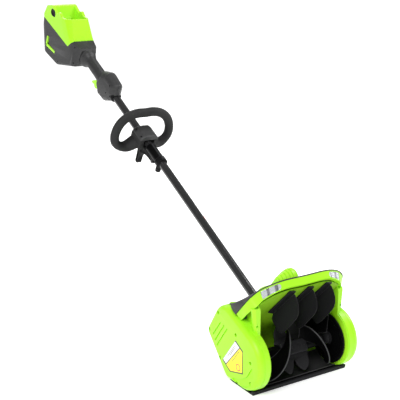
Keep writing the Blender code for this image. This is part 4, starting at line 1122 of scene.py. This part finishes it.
houseLook = {
    "grey": [(1.2925, 0.77, 0.011), (1.325, 0.724, 0.012), (1.47, 0.718, 0.016), (1.598, 0.768, 0.022),
             (1.593, 0.808, 0.022), (1.565, 0.875, 0.009), (1.33, 0.793, 0.011)],
    "lime": [(1.3315, 0.806, 0.006), (1.356, 0.874, 0.008), (1.488, 0.914, 0.01), (1.523, 0.904, 0.018),
             (1.562, 0.882, 0.008), (1.36, 0.788, 0.004)],
    "front": ((0.7, 1.301, 0.026), (0.735, 1.288, 0.026), (0.762, 1.279, 0.026), (0.781, 1.283, 0.03),
              (0.8, 1.316, 0.037), (0.812, 1.325, 0.037), (0.874, 1.3455, 0.031), (0.95, 1.37, 0.025)),
    "side": 0.0472,
    "widest": 0.049,
    "rear": ((1.566, 0.0482), (1.598, 0.04), (1.6205, 0.02)),
    "rows": ((-0.05, 0.0082), (-0.0475, 0.0048), (-0.043, 0.0015), (-0.037, 0.0), (0.037, 0.0),
             (0.043, 0.0015), (0.0475, 0.0048), (0.05, 0.0082)),
    "rim": ((1.3, 0.8812), (1.376, 0.8812), (1.392, 0.883), (1.406, 0.887), (1.418, 0.899), (1.423, 0.901),
            (1.43, 0.901), (1.435, 0.897), (1.444, 0.895), (1.456, 0.903), (1.488, 0.9245), (1.523, 0.9225),
            (1.6, 0.9225)),
    "pocket": {"half": 0.0385, "axis": (0.2999, 0.954), "top": (1.3525, 0.88), "length": 0.1064,
               "depth": 0.095},
    "slat": ((1.495, 0.747), (1.499, 0.7482), (1.496, 0.758), (1.492, 0.7568)),
    "wells": ((0.033, 1.31, 0.783), (0.044, 1.456, 0.716), (0.033, 1.325, 0.726), (0.044, 1.59, 0.83)),
    "vent": ((1.57, 0.768), (1.488, 0.742), (1.477, 0.754), (1.533, 0.776), (1.527, 0.805),
             (1.548, 0.807)),
}


def planColumn(inset=0.0):
    # the housing's faceted plan, carried up with its front edge leaning back
    loops = []
    side = houseLook["side"]
    for height, nose, wide in houseLook["front"]:
        half = [(nose, wide), (nose + (side - wide) * 1.9, side), (nose + 0.06, houseLook["widest"])]
        half += houseLook["rear"]
        line = [(x - inset, y) for y, x in half] + [(inset - x, y) for y, x in reversed(half)]
        line = fillet(line, 0.005, 3)
        loops.append([(x, y + (inset if y < nose + 0.002 else 0), height) for x, y in line])
    return skin(loops)


def pocketShape(margin, deeper, above=0.12):
    look = houseLook["pocket"]
    (ay, az), (y, z) = look["axis"], look["top"]
    corners = []
    for run, deep in ((-margin, look["depth"] + deeper), (look["length"] + margin, look["depth"] + deeper),
                      (look["length"] + margin, -above), (-margin, -above)):
        corners.append((y + az * run - ay * deep, z - ay * run - az * deep))
    return plate(corners, -look["half"] - margin, look["half"] + margin)


def pocketHollow(margin, deeper, above, inset):
    # the pocket, kept inside the housing's faceted walls
    block = carve(make("pocket", pocketShape(margin, deeper, above)), [planColumn(inset)], "INTERSECT")
    shape = bmesh.new()
    shape.from_mesh(block.data)
    bpy.data.objects.remove(block)
    return shape


def buildBatteryHouse():
    bay = make("battery_cradle", planColumn())
    carve(bay, [plate(band(houseLook["lime"], 0, 6), -0.08, 0.08)], "INTERSECT")
    carve(bay, [plate(flow(houseLook["rim"], 4) + [(1.6, 1.2), (1.3, 1.2)], -0.1, 0.1),
                pocketHollow(0.0, 0.0, 0.12, 0.0026)])
    hollow = [(1.472, 0.81), (1.49, 0.905), (1.52, 0.906), (1.546, 0.886), (1.554, 0.85)]
    carve(bay, [plate(hollow, -0.035, 0.035)])
    recess = []
    lean = Matrix.Translation((0, 1.478, 0.8965)) @ Matrix.Rotation(radians(17), 4, "X")
    oval = [lean @ Vector((0, y, z)) for y, z in band([(-0.0062, 0, 0.0138), (0.0062, 0, 0.0138)], 0, 12)]
    for side in (-1, 1):
        recess.append(skin([[(side * x, p.y, p.z) for p in oval] for x in (0.0415, 0.06)]))
    carve(bay, [merged(recess)])
    bevelled(bay, 0.0011, 2, 32)
    dress(bay, "lime_plastic", "frame", "battery_bay")

    # guide ribs, catches and the floor inside the pocket
    look = houseLook["pocket"]
    (ay, az), (y, z) = look["axis"], look["top"]

    def inside(run, deep):
        return (y + az * run - ay * deep, z - ay * run - az * deep)

    def rib(near, far, top, low, high):
        line = [inside(near, top), inside(far, top), inside(far, 0.094), inside(near, 0.094)]
        return plate(line, low, high)

    floor = look["length"]
    ribs = []
    for side in (-1, 1):
        for run in (0.012, 0.074):
            ribs.append(rib(run, run + 0.01, 0.012, *sorted((side * 0.0345, side * 0.0386))))
    ribs += [rib(floor - 0.0035, floor + 0.001, 0.016, x - 0.003, x + 0.003) for x in (-0.024, 0.0, 0.024)]
    line = [inside(floor - 0.004, -0.034), inside(floor + 0.001, -0.034), inside(floor + 0.001, -0.01),
            inside(floor - 0.004, -0.014)]
    ribs.append(plate(line, -0.016, 0.016))
    dress(bevelled(make("pocket_ribs", merged(ribs)), 0.0009, 2), "lime_plastic", "frame")
    tub = make("pocket_tub", pocketHollow(0.0022, 0.0022, -0.03, 0.0006))
    carve(tub, [pocketHollow(0.0, 0.0, 0.12, 0.0026)])
    dress(bevelled(tub, 0.0006, 2), "lime_plastic", "frame")

    for side, word in ((-1, "left"), (1, "right")):
        shell = make(f"rear_case_{word}", planColumn())
        carve(shell, [stack(houseLook["rows"], houseLook["grey"], 1, 6)], "INTERSECT")
        carve(shell, [plate(band(houseLook["lime"], -0.0005, 6), -0.1, 0.1), pocketShape(0.0026, 0.0026)])
        cutNeck = block((-0.1, 1.4, -0.1), (0.1, 1.59, 0.1))
        bmesh.ops.transform(cutNeck, matrix=shaftPlace, verts=cutNeck.verts)
        low, high = sorted((-side * 0.1, side * 0.00018))
        vent = fillet(houseLook["vent"], 0.003, 3)
        hole = skin([[(side * x, a, b) for a, b in vent] for x in (0.04, 0.08)])
        wells = merged([peg(0.0028, (side * x, a, b), (side * 0.08, a, b), 16)
                        for x, a, b in houseLook["wells"]])
        carve(shell, [cutNeck, block((low, 1.1, 0.5), (high, 1.8, 1.1)), hole, wells])
        bevelled(shell, 0.0012, 2, 32)
        dress(shell, "dark_grey_plastic", "frame", f"battery_housing_{word}")
        rails = []
        for a, b in (((1.569, 0.768), (1.488, 0.7425)), ((1.569, 0.768), (1.548, 0.8065))):
            start, end = Vector(a), Vector(b)
            run = (end - start).normalized()
            into = Vector((-run.y, run.x))
            if into.dot(Vector((1.533, 0.776)) - start) < 0:
                into = -into
            line = [start - run * 0.0005, end, end + into * 0.0092, start + into * 0.0092 + run * 0.002]
            inner, outer = sorted((side * 0.0402, side * 0.0478))
            rails.append(plate(line, inner, outer))
        trim = bevelled(make(f"vent_trim_{word}", merged(rails)), 0.0007, 2)
        dress(trim, "lime_plastic", "frame", *(["vent_liner"] if side < 0 else []))
        slats = []
        for i in range(7):
            line = [(a + 0.0095 * i, b + 0.0032 * i) for a, b in houseLook["slat"]]
            slats.append(plate(fillet(line, 0.0005, 2), *sorted((side * 0.0398, side * 0.044))))
        dress(make(f"vent_slats_{word}", merged(slats)), "black_plastic", "frame")

    loops = []
    for x, grow in ((-0.0455, -0.001), (-0.0485, -0.001), (-0.05, -0.0018), (-0.0505, -0.0042),
                    (-0.0498, -0.0052), (-0.0494, -0.009)):
        loops.append([(x, *(lean @ Vector((0, a, b))).yz) for a, b in
                      band([(-0.0062, 0, 0.0138 + grow), (0.0062, 0, 0.0138 + grow)], 0, 12)])
    button = make("pack_release", skin(loops), sharp=50)
    dress(button, "black_plastic", "release", "battery_release_button")
    print("battery housing built")


buildHood()
buildLights()
buildRoof()
buildVanes()
buildSidePlates()
buildCovers()
buildSole()
buildRearHousing()
buildMotorBump()
buildAuger()
buildShaft()
buildCoupler()
buildLoop()
buildTriggerHandle()
buildTriggerParts()
buildBatteryHouse()

for node in nodes.values():                          # the hidden works keep their shape and get a real finish
    for place in node.material_slots:
        kind = place.material.name.split(".")[0]
        if kind in finishes:
            place.material = finishes[kind]


def buildStudio():
    floorMesh = bpy.data.meshes.new("studio_floor")
    floorMesh.from_pydata([(-30, -30, 0), (30, -30, 0), (30, 30, 0), (-30, 30, 0)], [], [(0, 1, 2, 3)])
    floor = bpy.data.objects.new("studio_floor", floorMesh)
    floorMesh.transform(Matrix.Translation((0, 0, -0.0004)))
    floorMesh.materials.append(studioFloor())
    bpy.context.scene.collection.objects.link(floor)

    world = bpy.data.worlds.new("soft_room")
    world.use_nodes = True
    world.node_tree.nodes["Background"].inputs["Color"].default_value = (1.0, 1.0, 1.0, 1)
    world.node_tree.nodes["Background"].inputs["Strength"].default_value = 0.32
    bpy.context.scene.world = world

    def light(name, kind, place, aim, power, width=1.0, height=1.0):
        lamp = bpy.data.lights.new(name, kind)
        lamp.energy = power
        if kind == "SUN":
            lamp.angle = radians(width)
        else:
            lamp.shape = "RECTANGLE"
            lamp.size = width
            lamp.size_y = height
        thing = bpy.data.objects.new(name, lamp)
        thing.location = place
        thing.rotation_euler = (Vector(aim) - Vector(place)).to_track_quat("-Z", "Y").to_euler()
        bpy.context.scene.collection.objects.link(thing)

    light("broad_key", "SUN", (-2.9, -1.9, 4.2), (0, 0.4, 0.2), 2.35, 30)
    light("left_fill", "AREA", (-2.9, -0.4, 1.8), (0, 0.3, 0.3), 20, 1.8, 1.4)
    light("right_strip", "AREA", (2.4, 0.2, 2.4), (0, 0.9, 0.5), 75, 0.4, 2.6)
    light("back_rim", "AREA", (0.5, 3.4, 2.2), (0, 0.8, 0.5), 26, 1.6, 1.2)

    lens = bpy.data.cameras.new("viewpoint")
    lens.lens = 85
    lens.sensor_width = 36
    camera = bpy.data.objects.new("viewpoint", lens)
    camera.location = (-1.49319, -1.86756, 1.21192)
    camera.rotation_euler = (pi / 2 - 0.2829666, 0, -0.5593889)
    bpy.context.scene.collection.objects.link(camera)
    bpy.context.scene.camera = camera
    bpy.context.scene.view_settings.view_transform = "Standard"


buildStudio()
print("studio ready")
